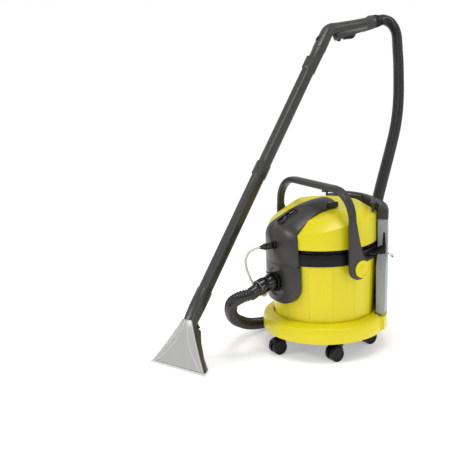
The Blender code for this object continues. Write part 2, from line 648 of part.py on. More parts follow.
def build_upper_panel():
    rings = [panel_ring(y, z, radians(tilt), width, radius, thickness)
             for y, z, tilt, width, radius, thickness in upper_panel_stations()]
    panel = add("upper_front_panel", loft("upper_front_panel", rings), GREY)
    cut(panel, cylinder("spray_hole", bore(0.0095, 20), HEAD_RADIUS, SOCKET_FACE, steps=20,
                        location=(0, 0, SPRAY_SOCKET_HEIGHT), rotation=TOWARDS_FRONT))
    place, turn = switch_frame()
    hole = outline_solid("switch_hole", oval(SWITCH_LENGTH + 0.0008, SWITCH_WIDTH + 0.0008), 0.05)
    cut(panel, add("switch_hole", hole, BLACK, location=place, rotation=turn))
    # the panel's underside and edges are seated on the cover
    grown = [cover_ring(COVER_RADIUS + CLEAR, VENT_TOP, 0)]
    grown += [cover_ring(radius + CLEAR, height + CLEAR, drop) for radius, height, drop in COVER_LEVELS[1:]]
    cut(panel, add("cover_shape", loft("cover_shape", grown), BLACK))

    tray = add("switch_bezel", outline_solid("switch_bezel", oval(SWITCH_LENGTH, SWITCH_WIDTH),
                                             BEZEL_DEPTH + 0.002), BLACK)
    tray.data.transform(Matrix.Translation((0, 0, (0.002 - BEZEL_DEPTH) / 2)))
    tray.location = place
    tray.rotation_euler = turn
    pocket = outline_solid("switch_pocket", oval(SWITCH_LENGTH - 0.005, SWITCH_WIDTH - 0.005), 0.020)
    pocket.transform(Matrix.Translation((0, 0, 0.010 - BEZEL_DEPTH + BEZEL_FLOOR)))
    cut(tray, add("switch_pocket", pocket, BLACK, location=place, rotation=turn))
    # each rocker's section is a shallow V over a round foot on its pivot
    half = SWITCH_LENGTH / 4 - 0.0045
    pivot = BEZEL_FLOOR - BEZEL_DEPTH + ROCKER_FOOT + CLEAR
    section = [(-half, 0.0012), (0, -0.0012), (half, 0.0026), (half, -0.0022), (ROCKER_FOOT, -0.0030),
               *arc(ROCKER_FOOT, -10, -170, 5, (0, pivot)), (-ROCKER_FOOT, -0.0030), (-half, -0.0022)]
    frame = Matrix.Translation(place) @ Matrix.Rotation(turn[0], 4, 'X')
    for name, y in (("rocker_suction", -SWITCH_LENGTH / 4 + 0.0025), ("rocker_spray", SWITCH_LENGTH / 4 - 0.0025)):
        rocker = side_plate(name, section, 0, SWITCH_WIDTH * 0.52, SWITCH_BLACK)
        rocker.data.transform(Matrix.Translation((0, 0, -pivot)))
        rocker.location = frame @ Vector((0, y, pivot))
        rocker.rotation_euler = turn
    face = PANEL_RADIUS + SPRAY_FLANGE
    socket = [(0, HEAD_RADIUS + 0.0040), (0.0076, HEAD_RADIUS + 0.0040), (0.0076, face),
              (0.0120, face), (0.0120, PANEL_RADIUS + CLEAR), (0.0095, PANEL_RADIUS + CLEAR),
              (0.0095, HEAD_RADIUS + 0.0022), (0, HEAD_RADIUS + 0.0022)]
    turned("spray_socket", socket, BLACK, 20, location=(0, 0, SPRAY_SOCKET_HEIGHT), rotation=TOWARDS_FRONT)


# ---------------------------------------------------------------- head
def build_head_base():
    skirt = DRUM_RADIUS_TOP + RING_GAP
    vent = HEAD_RADIUS - VENT_DEPTH
    shelf = vent - 0.0055
    profile = [(shelf, VENT_TOP), (vent, VENT_TOP), (vent, RING_TOP + 0.0018), (HEAD_RADIUS - 0.0020, RING_TOP),
               (HEAD_RADIUS, RING_TOP - 0.0025), (HEAD_RADIUS, RING_BOTTOM + 0.0020),
               (HEAD_RADIUS - 0.0015, RING_BOTTOM), (skirt, RING_BOTTOM), (skirt, DECK_BOTTOM), (shelf, DECK_BOTTOM)]
    base = turned("head_base", profile, BLACK, 42, ring=True)
    deck = shelf - 2 * CLEAR
    turned("head_deck", [(DECK_HOLE, DECK_TOP), (deck, DECK_TOP), (deck, DECK_BOTTOM), (DECK_HOLE, DECK_BOTTOM)],
           BLACK, 42, ring=True)
    bm = bmesh.new()
    for i in range(VENT_RIBS):
        middle = around(360 * (i + 0.5) / VENT_RIBS, (vent + HEAD_RADIUS - 0.003) / 2, (RING_TOP + VENT_TOP) / 2)
        size = Matrix.Diagonal((0.0024, HEAD_RADIUS - 0.003 - vent + 0.002, VENT_TOP - RING_TOP + 0.002, 1))
        turn = Matrix.Rotation(radians(360 * (i + 0.5) / VENT_RIBS), 4, 'Z')
        lower = Matrix.Translation(middle - Vector((0, 0, 0.00105)))
        bmesh.ops.create_cube(bm, size=1.0, matrix=lower @ turn @ size)
    fuse(base, add("vent_ribs", finished(bm, "vent_ribs"), BLACK))
    for side in (1, -1):
        lug = [*arc(0.021, 180, 360, 9, (0, PIVOT_HEIGHT)), (0.030, RING_TOP - 0.012), (-0.026, RING_TOP - 0.012)]
        ear = side_plate(f"ear_{side}", lug, side * (BAIL_INNER_X - CLEAR - 0.0075), 0.0150, GREY)
        fuse(base, ear)
        # bracket beside the tank, with an upright fin
        under = RING_BOTTOM + 0.0125
        above = RING_TOP - 0.0025
        arm = [(HEAD_RADIUS - 0.002, under), (TANK_OUTER_RADIUS + 0.0035, under + 0.005),
               (TANK_OUTER_RADIUS + 0.0045, above + 0.0045), (TANK_OUTER_RADIUS + 0.001, above + 0.0485),
               (TANK_OUTER_RADIUS - 0.003, above + 0.0485), (TANK_OUTER_RADIUS - 0.006, above + 0.0105),
               (HEAD_RADIUS + 0.004, above), (HEAD_RADIUS - 0.002, above)]
        bracket = side_plate(f"bracket_{side}", arm, 0, 0.0055, BLACK)
        bracket.rotation_euler = (0, 0, -side * radians(TANK_LOW_ANGLE + 3.2))
        fuse(base, bracket)
    # the rim of the drum is sealed by a soft ring under the deck
    turned("rim_seal", [(DRUM_RADIUS_TOP - 0.0003, DECK_BOTTOM - CLEAR), (DRUM_RADIUS_TOP - 0.0003, DRUM_RIM + CLEAR),
                        (DRUM_RADIUS_TOP - WALL - 0.002, DRUM_RIM + CLEAR),
                        (DRUM_RADIUS_TOP - WALL - 0.002, DECK_BOTTOM - CLEAR)], RUBBER, 42, ring=True)


def build_cable_gland():
    """Strain relief of the mains lead, on the head ring behind the bail's right foot."""
    profile = [(0.0035, 0.0150), (0.0052, 0.0150), (0.0062, 0.0040), (0.0095, 0.0035), (0.0095, CLEAR),
               (0.0035, CLEAR)]
    place = around(GLAND_ANGLE, HEAD_RADIUS, (RING_BOTTOM + RING_TOP) / 2)
    turned("cable_gland", profile, BLACK, 16, ring=True, location=place,
           rotation=(pi / 2, 0, radians(GLAND_ANGLE)))


def build_wire_hook():
    """Bent wire for hanging the cable, standing out of the bracket on the machine's right."""
    angle = TANK_LOW_ANGLE + 3.2
    def at(radius, along, z):
        point = around(180 - angle, radius, z)
        tangent = around(90 - angle, along)
        return point + tangent
    foot = RING_TOP - 0.010
    route = [at(TANK_OUTER_RADIUS + 0.0052, 0, foot), at(TANK_OUTER_RADIUS + 0.013, 0.000, foot - 0.0055),
             at(TANK_OUTER_RADIUS + 0.024, 0.004, foot - 0.012), at(TANK_OUTER_RADIUS + 0.031, 0.011, foot - 0.012),
             at(TANK_OUTER_RADIUS + 0.032, 0.017, foot - 0.006), at(TANK_OUTER_RADIUS + 0.029, 0.020, foot + 0.001)]
    tube("wire_hook", smooth_path(route, 0.005), 0.0018, STEEL, 2)


def front_share(angle_degrees):
    return max(0.0, cos(radians(angle_degrees)))


def cover_ring(radius, height, front_drop, count=42):
    ring = []
    for i in range(count):
        angle = 360 * (i + 0.5) / count
        ring.append(around(angle, radius, height - front_drop * front_share(angle)))
    return ring


def build_head_cover():
    """Open-bottomed shell: rising outside, over the crown, and down inside."""
    inner = [(COVER_RADIUS - COVER_WALL, COVER_LEVELS[0][1], 0)]
    inner += [(COVER_RADIUS - COVER_WALL, CREASE_HEIGHT - 0.6 * COVER_WALL, FRONT_DROP)]
    inner += [(radius - 0.0005, height - COVER_WALL, drop) for radius, height, drop in COVER_LEVELS[2:]]
    cover = add("head_cover", shell_mesh("head_cover", [cover_ring(*level) for level in COVER_LEVELS],
                                         [cover_ring(*level) for level in inner]), YELLOW)
    place, turn = switch_frame()
    hole = outline_solid("cover_switch_hole", oval(SWITCH_LENGTH + 0.002, SWITCH_WIDTH + 0.002), 0.03)
    cut(cover, add("cover_switch_hole", hole, BLACK, location=place, rotation=turn))
    rack_arc = 54
    outer_arc = [around(180 - a, COVER_RADIUS - 0.002) for a in range(-rack_arc, rack_arc + 1, 12)]
    inner_arc = [around(180 - a, COVER_RADIUS - 0.016) for a in range(rack_arc, -rack_arc - 1, -12)]
    rack = outline_solid("accessory_rack", [(p.x, p.y) for p in outer_arc + inner_arc], 0.0045)
    rack.transform(Matrix.Translation((0, 0, RACK_HEIGHT)))
    rack_obj = add("accessory_rack", rack, GREY)
    post = 0.0040
    post_circle = COVER_RADIUS - 0.0095
    bottom = cover_height(post_circle - post) + CLEAR
    for number, angle in enumerate((-48, -24, 0, 24, 48), 1):
        fuse(rack_obj, cylinder(f"rack_post_{number}", post, bottom, RACK_HEIGHT - 0.0010, steps=10,
                                location=around(180 - angle, post_circle)))


def cover_height(radius):
    """Height of the cover's outer slope behind the machine, between its two creases."""
    (low_radius, low, _), (high_radius, high, _) = COVER_LEVELS[1:3]
    return low + (low_radius - radius) * (high - low) / (low_radius - high_radius)


def shell_mesh(name, outer, inner):
    """A bowl-shaped shell from rings that start at its rim and end at its crown."""
    bm = bmesh.new()
    skins = []
    for rings in (outer, inner):
        rows = [[bm.verts.new(point) for point in ring] for ring in rings]
        for low, high in zip(rows, rows[1:]):
            for i in range(len(low)):
                j = (i + 1) % len(low)
                bm.faces.new((low[i], low[j], high[j], high[i]))
        bm.faces.new(rows[-1])
        skins.append(rows[0])
    for i in range(len(skins[0])):
        j = (i + 1) % len(skins[0])
        bm.faces.new((skins[0][i], skins[0][j], skins[1][j], skins[1][i]))
    return finished(bm, name)


def build_suction_unit():
    motor_bottom = DECK_TOP + 0.020
    top = motor_bottom + MOTOR_HEIGHT
    motor = [(0, top), (0.018, top), (0.018, top - 0.006), (MOTOR_RADIUS - 0.012, top - 0.006),
             (MOTOR_RADIUS - 0.004, top - 0.016), (MOTOR_RADIUS - 0.004, motor_bottom + 0.010),
             (MOTOR_RADIUS, motor_bottom + 0.010), (MOTOR_RADIUS, motor_bottom), (0, motor_bottom)]
    body = turned("suction_motor", motor, MOTOR_METAL, 24)
    cut(body, cylinder("shaft_bore", bore(0.004, 12) + 0.0004, motor_bottom - 0.01, motor_bottom + 0.030, steps=12))
    # three feet carry the motor on the deck
    for number in range(3):
        foot = around(120 * number + 30, FAN_RADIUS + 0.006)
        arm = box(f"motor_arm_{number}", (-0.005, -0.0120, 0), (0.005, 0.0260, 0.005),
                  location=(foot.x, foot.y, motor_bottom + 0.001), rotation=(0, 0, radians(120 * number + 30)))
        leg = cylinder(f"motor_leg_{number}", 0.0050, DECK_TOP + CLEAR, motor_bottom + 0.004, steps=12,
                       location=(foot.x, foot.y, 0))
        fuse(body, arm, leg)
    fan_top = motor_bottom - 0.0030
    fan_low = DECK_TOP + 0.0030
    fan = turned("turbine_fan", [(0, fan_top + 0.020), (0.004, fan_top + 0.020), (0.004, fan_top),
                                 (FAN_RADIUS - 0.004, fan_top), (FAN_RADIUS - 0.004, fan_top - 0.0015),
                                 (0.008, fan_top - 0.0015), (0.008, fan_low), (0, fan_low)], STEEL, 24)
    for number in range(FAN_BLADES):
        angle = 360 * number / FAN_BLADES
        place = around(angle, FAN_RADIUS - 0.032)
        blade = box(f"blade_{number}", (-0.0008, -0.026, fan_low), (0.0008, 0.024, fan_top - 0.0010),
                    location=(place.x, place.y, 0), rotation=(0, 0, radians(angle + 22)))
        fuse(fan, blade)
    pump_z = DECK_TOP + 0.024
    pump_y = HEAD_RADIUS - 0.0605
    pump = turned("spray_pump", [(0, 0.048), (0.010, 0.048), (0.010, 0.040), (0.018, 0.036), (0.018, -0.036),
                                 (0.012, -0.040), (0.012, -0.048), (0, -0.048)], BLACK, 20,
                  location=(0, pump_y, pump_z), rotation=(0, pi / 2, 0))
    fuse(pump, box("pump_foot", (-0.020, pump_y - 0.012, DECK_TOP + CLEAR), (0.020, pump_y + 0.012, pump_z - 0.010)))


def build_filter():
    top = DECK_BOTTOM - CLEAR
    inner = CAGE_RADIUS - 0.0025
    cage = turned("filter_cage", [(CAGE_RADIUS + 0.012, top), (CAGE_RADIUS + 0.012, top - 0.003),
                                  (CAGE_RADIUS, top - 0.003), (CAGE_RADIUS, CAGE_BOTTOM), (0.012, CAGE_BOTTOM),
                                  (0.012, CAGE_BOTTOM + 0.003), (inner, CAGE_BOTTOM + 0.003), (inner, top)],
                  BLACK, 28, ring=True)
    for number in range(3):
        cut(cage, box(f"cage_slot_{number}", (-0.0065, -0.07, CAGE_BOTTOM + 0.012), (0.0065, 0.07, top - 0.014),
                      rotation=(0, 0, radians(60 * number + 5))))
    float_low = CAGE_BOTTOM + 0.003 + CLEAR
    turned("safety_float", [(0, float_low + 0.044), (FLOAT_RADIUS - 0.014, float_low + 0.042),
                            (FLOAT_RADIUS - 0.003, float_low + 0.034), (FLOAT_RADIUS, float_low + 0.026),
                            (FLOAT_RADIUS, float_low + 0.003), (FLOAT_RADIUS - 0.003, float_low),
                            (0, float_low)], LIP_WHITE, 24)
    sleeve = CAGE_RADIUS + 0.0005
    turned("foam_filter", [(sleeve + FILTER_THICKNESS, top - 0.0034), (sleeve + FILTER_THICKNESS, CAGE_BOTTOM + 0.001),
                           (sleeve, CAGE_BOTTOM + 0.001), (sleeve, top - 0.0034)], FOAM, 28, ring=True)


# ---------------------------------------------------------------- bail handle
def bail_foot_outline():
    """Round the pivot, with the leg rising from its front part."""
    front = -BAIL_OFFSET - BAIL_BAR_WIDTH / 2
    back = -BAIL_OFFSET + BAIL_BAR_WIDTH / 2
    centre = (-0.0085, PIVOT_HEIGHT)
    radius = centre[0] - front
    top = PIVOT_HEIGHT + FOOT_LENGTH
    return [(front, top), *arc(radius, 180, 372, 15, centre), (0.016, PIVOT_HEIGHT + 0.026),
            (0.0055, PIVOT_HEIGHT + 0.044), (-0.0040, PIVOT_HEIGHT + 0.080), (back, top)]


def build_bail():
    middle_x = BAIL_INNER_X + BAIL_THICKNESS / 2
    y = -BAIL_OFFSET
    holes = [arc(bore(PIN_RADIUS, 20), 0, 342, 20, (0, PIVOT_HEIGHT))]
    bail = side_plate("bail_handle", bail_foot_outline(), middle_x, BAIL_THICKNESS, GREY, holes=holes)
    left = side_plate("bail_left_leg", bail_foot_outline(), -middle_x, BAIL_THICKNESS, GREY, holes=holes)
    # arch: rounded-rectangle sections that grow from the legs' thickness to the bar's
    corner_low = BAIL_TOP - BAIL_CORNER
    stations = [((middle_x, PIVOT_HEIGHT + FOOT_LENGTH - 0.008), 0), ((middle_x, corner_low), 0)]
    stations += [((middle_x - BAIL_CORNER * (1 - cos(radians(15 * i))),
                   corner_low + BAIL_CORNER * sin(radians(15 * i))), 15 * i) for i in range(1, 7)]
    stations += [((-x, z), 180 - turn) for (x, z), turn in reversed(stations)]
    rings = []
    for (x, z), turn in stations:
        share = sin(radians(turn))
        depth = (BAIL_THICKNESS - 0.0006) * (1 - share) + BAIL_BAR_HEIGHT * share
        width = BAIL_BAR_WIDTH - 0.0006
        normal = Vector((cos(radians(turn)), 0, sin(radians(turn))))
        chamfer = 0.0035
        section = [(depth / 2, width / 2 - chamfer), (depth / 2 - chamfer, width / 2),
                   (-depth / 2 + chamfer, width / 2), (-depth / 2, width / 2 - chamfer),
                   (-depth / 2, -width / 2 + chamfer), (-depth / 2 + chamfer, -width / 2),
                   (depth / 2 - chamfer, -width / 2), (depth / 2, -width / 2 + chamfer)]
        rings.append([Vector((x, y, z)) + normal * a + Vector((0, b, 0)) for a, b in section])
    fuse(bail, left, add("bail_arch", loft("bail_arch", rings), GREY))
    for side, name in ((1, "right"), (-1, "left")):
        turn = (0, side * pi / 2, 0)
        place = (0, 0, PIVOT_HEIGHT)
        cylinder(f"pivot_pin_{name}", PIN_RADIUS, BAIL_INNER_X, CAP_X - CLEAR, STEEL, 20, location=place, rotation=turn)
        cap = [(0, CAP_X + CAP_THICKNESS), (CAP_RADIUS * 0.55, CAP_X + CAP_THICKNESS - 0.0003),
               (CAP_RADIUS - 0.003, CAP_X + CAP_THICKNESS - 0.0010), (CAP_RADIUS, CAP_X + 0.0012),
               (CAP_RADIUS, CAP_X), (0, CAP_X)]
        turned(f"pivot_cap_{name}", cap, YELLOW, 28, location=place, rotation=turn)


# ---------------------------------------------------------------- clean-water tank
def build_tank():
    inner = TANK_INNER_RADIUS
    outer = TANK_OUTER_RADIUS
    low = TANK_LOW_ANGLE
    high = TANK_HIGH_ANGLE
    bottom = TANK_SEAT + CLEAR
    levels = [(bottom, inner + 0.004, outer - 0.013, low - 3), (bottom + 0.012, inner, outer - 0.003, low),
              (TANK_WAIST, inner, outer, low),
              (TANK_WAIST + 0.038, inner, outer, high),
              (TANK_TOP, inner, outer, high)]
    tank = add("water_tank", loft("water_tank", [crescent(z, a, b, angle) for z, a, b, angle in levels]), TANK_BLUE)
    wall = TANK_WALL
    edge = 0.9
    hollow = [(z, a + wall, b - wall, angle - edge) for z, a, b, angle in levels[1:-1]]
    hollow = [(bottom + wall, inner + 0.006 + wall, outer - 0.014 - wall, low - 4.5)] + hollow
    hollow += [(TANK_TOP - wall, inner + wall, outer - wall, high - edge),
               (TANK_TOP - wall + 0.0001, inner + 0.006, outer - 0.006, 16), (TANK_TOP + 0.01, inner + 0.006, outer - 0.006, 16)]
    cut(tank, add("tank_hollow", loft("tank_hollow", [crescent(z, a, b, angle) for z, a, b, angle in hollow]), BLACK))
    middle = (TANK_INNER_RADIUS + TANK_OUTER_RADIUS) / 2
    cylinder("tank_valve", 0.010, TANK_SEAT - 0.0095, bottom - CLEAR, BLACK, 20, location=(0, middle, 0))
    foot = TANK_TOP + CLEAR
    lid_top = foot + LID_HEIGHT
    lid_levels = [(foot, inner, outer + 0.0010, high + 0.3), (lid_top - 0.014, inner, outer + 0.0010, high + 0.3),
                  (lid_top - 0.005, inner + 0.001, outer - 0.002, high - 1), (lid_top, inner + 0.005, outer - 0.009, high - 4)]
    lid = add("tank_lid", loft("tank_lid", [crescent(z, a, b, angle) for z, a, b, angle in lid_levels]), GREY)
    cut(lid, crescent_block("lid_hollow", inner + 0.003, outer - 0.003, foot - 0.01, lid_top - 0.017, high - 1.0))


# ---------------------------------------------------------------- hose and spray tube
def grip_point(distance):
    """A point on the grip's axis in the world, at a distance behind the elbow."""
    wand = Matrix.Translation(WAND_FOOT) @ Matrix.Rotation(WAND_PLAN, 4, 'Z') @ Matrix.Rotation(-WAND_LEAN, 4, 'X')
    grip = (wand @ Matrix.Translation((0, 0, ELBOW)) @ Matrix.Rotation(HANDLE_TWIST, 4, 'Z')
            @ Matrix.Rotation(pi / 2 - ELBOW_BEND, 4, 'X'))
    return grip @ Vector((0, distance, 0))


def build_hose():
    face = -SOCKET_FACE
    spigot = INLET_RADIUS - 0.0006
    # distance in front of the socket's face, drop, slope and radius of each section
    stations = [(-0.0220, 0, 0, spigot), (CLEAR, 0, 0, spigot), (CLEAR, 0, 0, 0.0250), (0.0160, 0.0002, 0.04, 0.0250),
                (0.0175, 0.0004, 0.06, 0.0225), (0.0320, 0.0030, 0.22, 0.0225), (0.0335, 0.0034, 0.24, 0.0240),
                (0.0490, 0.0095, 0.38, 0.0240)]
    rings = [circle_ring((0, face - out, INLET_HEIGHT - drop), (0, -1, -fall), radius)
             for out, drop, fall, radius in stations]
    rings.append(circle_ring(CONNECTOR_END, CONNECTOR_WAY, 0.0205))
    add("hose_connector", loft("hose_connector", rings), BLACK)
    way = Vector(CONNECTOR_WAY).normalized()
    leaving = [Vector(CONNECTOR_END) + CLEAR * way, Vector(CONNECTOR_END) + 0.022 * way]
    route = smooth_path([*leaving, *HOSE_ROUTE, grip_point(GRIP_LENGTH + CUFF_LENGTH + 0.022),
                         grip_point(GRIP_LENGTH + CUFF_LENGTH + 2 * CLEAR)], 0.050)
    tube("suction_hose", route, HOSE_RADIUS, HOSE_BLACK, 2)
    seat = PANEL_RADIUS + SPRAY_FLANGE + CLEAR
    end = seat + PLUG_LENGTH
    plug = [(0, end), (0.0050, end), (0.0050, end - 0.0065), (0.0075, end - 0.0075), (0.0075, end - 0.0195),
            (0.0098, end - 0.0205), (0.0098, seat + 0.0007), (0.0088, seat), (0, seat)]
    turned("spray_plug", plug, BLACK, 20, location=(0, 0, SPRAY_SOCKET_HEIGHT), rotation=TOWARDS_FRONT)
    tube("spray_tube", smooth_path(SPRAY_ROUTE, 0.009), SPRAY_TUBE_RADIUS, TUBE_CLEAR, 2)


# ---------------------------------------------------------------- wand
def keeled_ring(z, radius, keel, half_width, count=24):
    """A round section whose front carries a flat-faced channel, up to keel from the axis."""
    corner = atan2(half_width, keel)
    corner_radius = hypot(half_width, keel)
    fade = radians(68)
    ring = []
    for i in range(count):
        angle = PI2 * i / count
        off = abs(angle if angle <= pi else PI2 - angle)
        if off <= corner + 0.001:
            reach = keel / cos(off)
        elif off < fade:
            reach = corner_radius + (radius - corner_radius) * (off - corner) / (fade - corner)
        else:
            reach = radius
        ring.append(Vector((reach * sin(angle), -reach * cos(angle), z)))
    return ring


def plain_ring(z, radius, count=24):
    return [Vector((radius * sin(PI2 * i / count), -radius * cos(PI2 * i / count), z)) for i in range(count)]


def build_tubes(frame):
    def section(z, grow=0.0):
        return keeled_ring(z, TUBE_RADIUS + grow, KEEL_DEPTH + grow, KEEL_HALF_WIDTH + grow)
    spigot = TUBE_BORE - 0.0004
    bore_inside = spigot - SPIGOT_WALL
    start = NECK_END + CLEAR
    # lower tube: spigot in the nozzle's neck, plain length, wider socket at its top
    outer = [plain_ring(start - SPIGOT_LENGTH, spigot), plain_ring(start - CLEAR / 2, spigot), section(start),
             section(TUBE_JOINT - 0.050), section(TUBE_JOINT - 0.046, SOCKET_BACK - TUBE_RADIUS),
             section(TUBE_JOINT, SOCKET_BACK - TUBE_RADIUS)]
    inner = [plain_ring(TUBE_JOINT, TUBE_BORE), plain_ring(TUBE_JOINT - SPIGOT_LENGTH - 0.003, TUBE_BORE),
             plain_ring(TUBE_JOINT - SPIGOT_LENGTH - 0.005, bore_inside), plain_ring(start - SPIGOT_LENGTH, bore_inside)]
    lower = add("lower_tube", loft("lower_tube", outer + inner, closed=True), WAND_GREY, parent=frame)
    cut(lower, latch_pocket("tube_latch_pocket", TUBE_JOINT - 0.024, SOCKET_BACK, frame))
    start = TUBE_JOINT + CLEAR
    outer = [plain_ring(start - SPIGOT_LENGTH, spigot), plain_ring(start - CLEAR / 2, spigot), section(start),
             section(TUBE_END - 0.050), section(TUBE_END - 0.046, SOCKET_BACK - TUBE_RADIUS),
             section(TUBE_END, SOCKET_BACK - TUBE_RADIUS)]
    inner = [plain_ring(TUBE_END, TUBE_BORE), plain_ring(TUBE_END - SPIGOT_LENGTH - 0.003, TUBE_BORE),
             plain_ring(TUBE_END - SPIGOT_LENGTH - 0.005, bore_inside), plain_ring(start - SPIGOT_LENGTH, bore_inside)]
    add("upper_tube", loft("upper_tube", outer + inner, closed=True), WAND_GREY, parent=frame)
    for name, z, back in (("nozzle_latch", NECK_END - 0.024, NECK_BACK), ("tube_latch", TUBE_JOINT - 0.024, SOCKET_BACK)):
        floor = back - LATCH_POCKET
        half = LATCH_LENGTH / 2
        button = [(floor + LATCH_TRAVEL + CLEAR, z - half), (back + 0.0015, z - half), (back + 0.0032, z - half + 0.004),
                  (back + 0.0032, z + half - 0.004), (back + 0.0015, z + half), (floor + LATCH_TRAVEL + CLEAR, z + half)]
        side_plate(name, button, 0, LATCH_WIDTH, BLACK, parent=frame)


def latch_pocket(name, z, back, frame):
    """Cutter for the pocket in which a latch button is pressed."""
    half = LATCH_LENGTH / 2 + CLEAR
    wide = LATCH_WIDTH / 2 + CLEAR
    return box(name, (-wide, back - LATCH_POCKET, z - half), (wide, back + 0.01, z + half), parent=frame)


def build_handle(frame):
    down = Vector((0, -cos(ELBOW_BEND), -sin(ELBOW_BEND)))
    along = Vector((0, 1, 0))
    leg = ELBOW - TUBE_END
    spigot = TUBE_BORE - 0.0004
    radius = 0.0215
    # the bend runs round a centre in front of both legs
    tangent = ELBOW_RADIUS * tan(ELBOW_BEND / 2)
    centre = along * tangent + Vector((0, 0, -ELBOW_RADIUS))
    bend = []
    for i in range(5):
        angle = ELBOW_BEND * (1 - i / 4)
        way = Vector((0, cos(angle), sin(angle)))
        bend.append(circle_ring(centre + ELBOW_RADIUS * Vector((0, -sin(angle), cos(angle))), way, radius, 24))
    rings = [circle_ring(down * (leg - CLEAR + SPIGOT_LENGTH), -down, spigot, 24),
             circle_ring(down * (leg - CLEAR / 2), -down, spigot, 24),
             circle_ring(down * (leg - CLEAR), -down, 0.0212, 24), circle_ring(down * (leg - 0.044), -down, 0.0216, 24),
             circle_ring(down * (leg - 0.046), -down, 0.0230, 24), *bend,
             circle_ring(along * 0.040, along, 0.0200, 24), circle_ring(along * 0.120, along, 0.0185, 24),
             circle_ring(along * (GRIP_LENGTH - 0.030), along, 0.0190, 24),
             circle_ring(along * (GRIP_LENGTH - 0.026), along, 0.0215, 24),
             circle_ring(along * GRIP_LENGTH, along, 0.0215, 24)]
    add("grip_shell", loft("grip_shell", rings), WAND_GREY, parent=frame)
    # the hose turns in this collar
    cuff = GRIP_LENGTH + CLEAR
    rings = [circle_ring(along * (cuff + offset), along, r, 20)
             for offset, r in ((0, 0.0220), (0.003, 0.0232), (0.016, 0.0232), (0.018, 0.0212),
                               (CUFF_LENGTH, 0.0205))]
    add("hose_cuff", loft("hose_cuff", rings), BLACK, parent=frame)
    # moulded housing under the grip, with the trigger in its slot
    top = -0.0120
    outline = [(0.0240, top), (0.0240, -0.0330), (0.0300, -0.0395), (0.0480, -0.0395), (0.0560, -0.0360),
               (0.1120, -0.0330), (0.1350, -0.0290), (0.1720, -0.0260), (0.1720, top)]
    housing = side_plate("trigger_housing", outline, 0, 0.0240, WAND_GREY, parent=frame)
    grip_clear = [circle_ring(along * y, along, r + CLEAR, 24)
                  for y, r in ((tangent, radius), (0.0400, 0.0200), (0.1200, 0.0185), (0.1880, 0.0190))]
    cut(housing, add("grip_recess", loft("grip_recess", grip_clear), BLACK, parent=frame))
    cut(housing, box("trigger_slot", (-TRIGGER_WIDTH / 2 - 0.0006, 0.0580, -0.06),
                     (TRIGGER_WIDTH / 2 + 0.0006, 0.1180, -0.0240), parent=frame))
    cut(housing, box("lock_slot", (-0.0045, 0.0300, -0.06), (0.0045, 0.0470, -0.0350), parent=frame))
    trigger = [(0.0600, -0.0270), (0.0600, -0.0400), (0.0660, -0.0430), (0.0740, -0.0415), (0.0860, -0.0440),
               (0.1000, -0.0440), (0.1120, -0.0370), (0.1120, -0.0310), (0.0780, -0.0300), (0.0680, -0.0270)]
    side_plate("spray_trigger", trigger, 0, TRIGGER_WIDTH, BLACK, parent=frame)
    lock = [(0.0310, -0.0365), (0.0310, -0.0430), (0.0340, -0.0450), (0.0385, -0.0450), (0.0410, -0.0430),
            (0.0410, -0.0365)]
    side_plate("trigger_lock", lock, 0, 0.0080, BLACK, parent=frame)
    slider = [(0.0228, -0.010), (0.0250, -0.007), (0.0250, 0.007), (0.0228, 0.010)]
    pad = side_plate("air_slider", slider, 0, 0.0120, BLACK, parent=frame)
    pad.data.transform(Matrix.Translation(down * 0.055) @ Matrix.Rotation(ELBOW_BEND + pi / 2, 4, 'X'))


# ---------------------------------------------------------------- floor nozzle
def blend_ring(centre, up, half_front, half_rear, front, rear, power, count=24):
    """A rounded section square to up: wider or narrower towards its front, boxy when power is small."""
    axis = Vector(up).normalized()
    right = Vector((1, 0, 0))
    back = axis.cross(right)
    middle = (front + rear) / 2
    reach = (rear - front) / 2
    ring = []
    for i in range(count):
        angle = PI2 * i / count
        s, c = sin(angle), cos(angle)
        y = middle - reach * (abs(c) ** power) * (1 if c >= 0 else -1)
        share = (y - front) / (rear - front)
        half = half_front + (half_rear - half_front) * share
        x = half * (abs(s) ** power) * (1 if s >= 0 else -1)
        ring.append(Vector(centre) + right * x + back * y)
    return ring


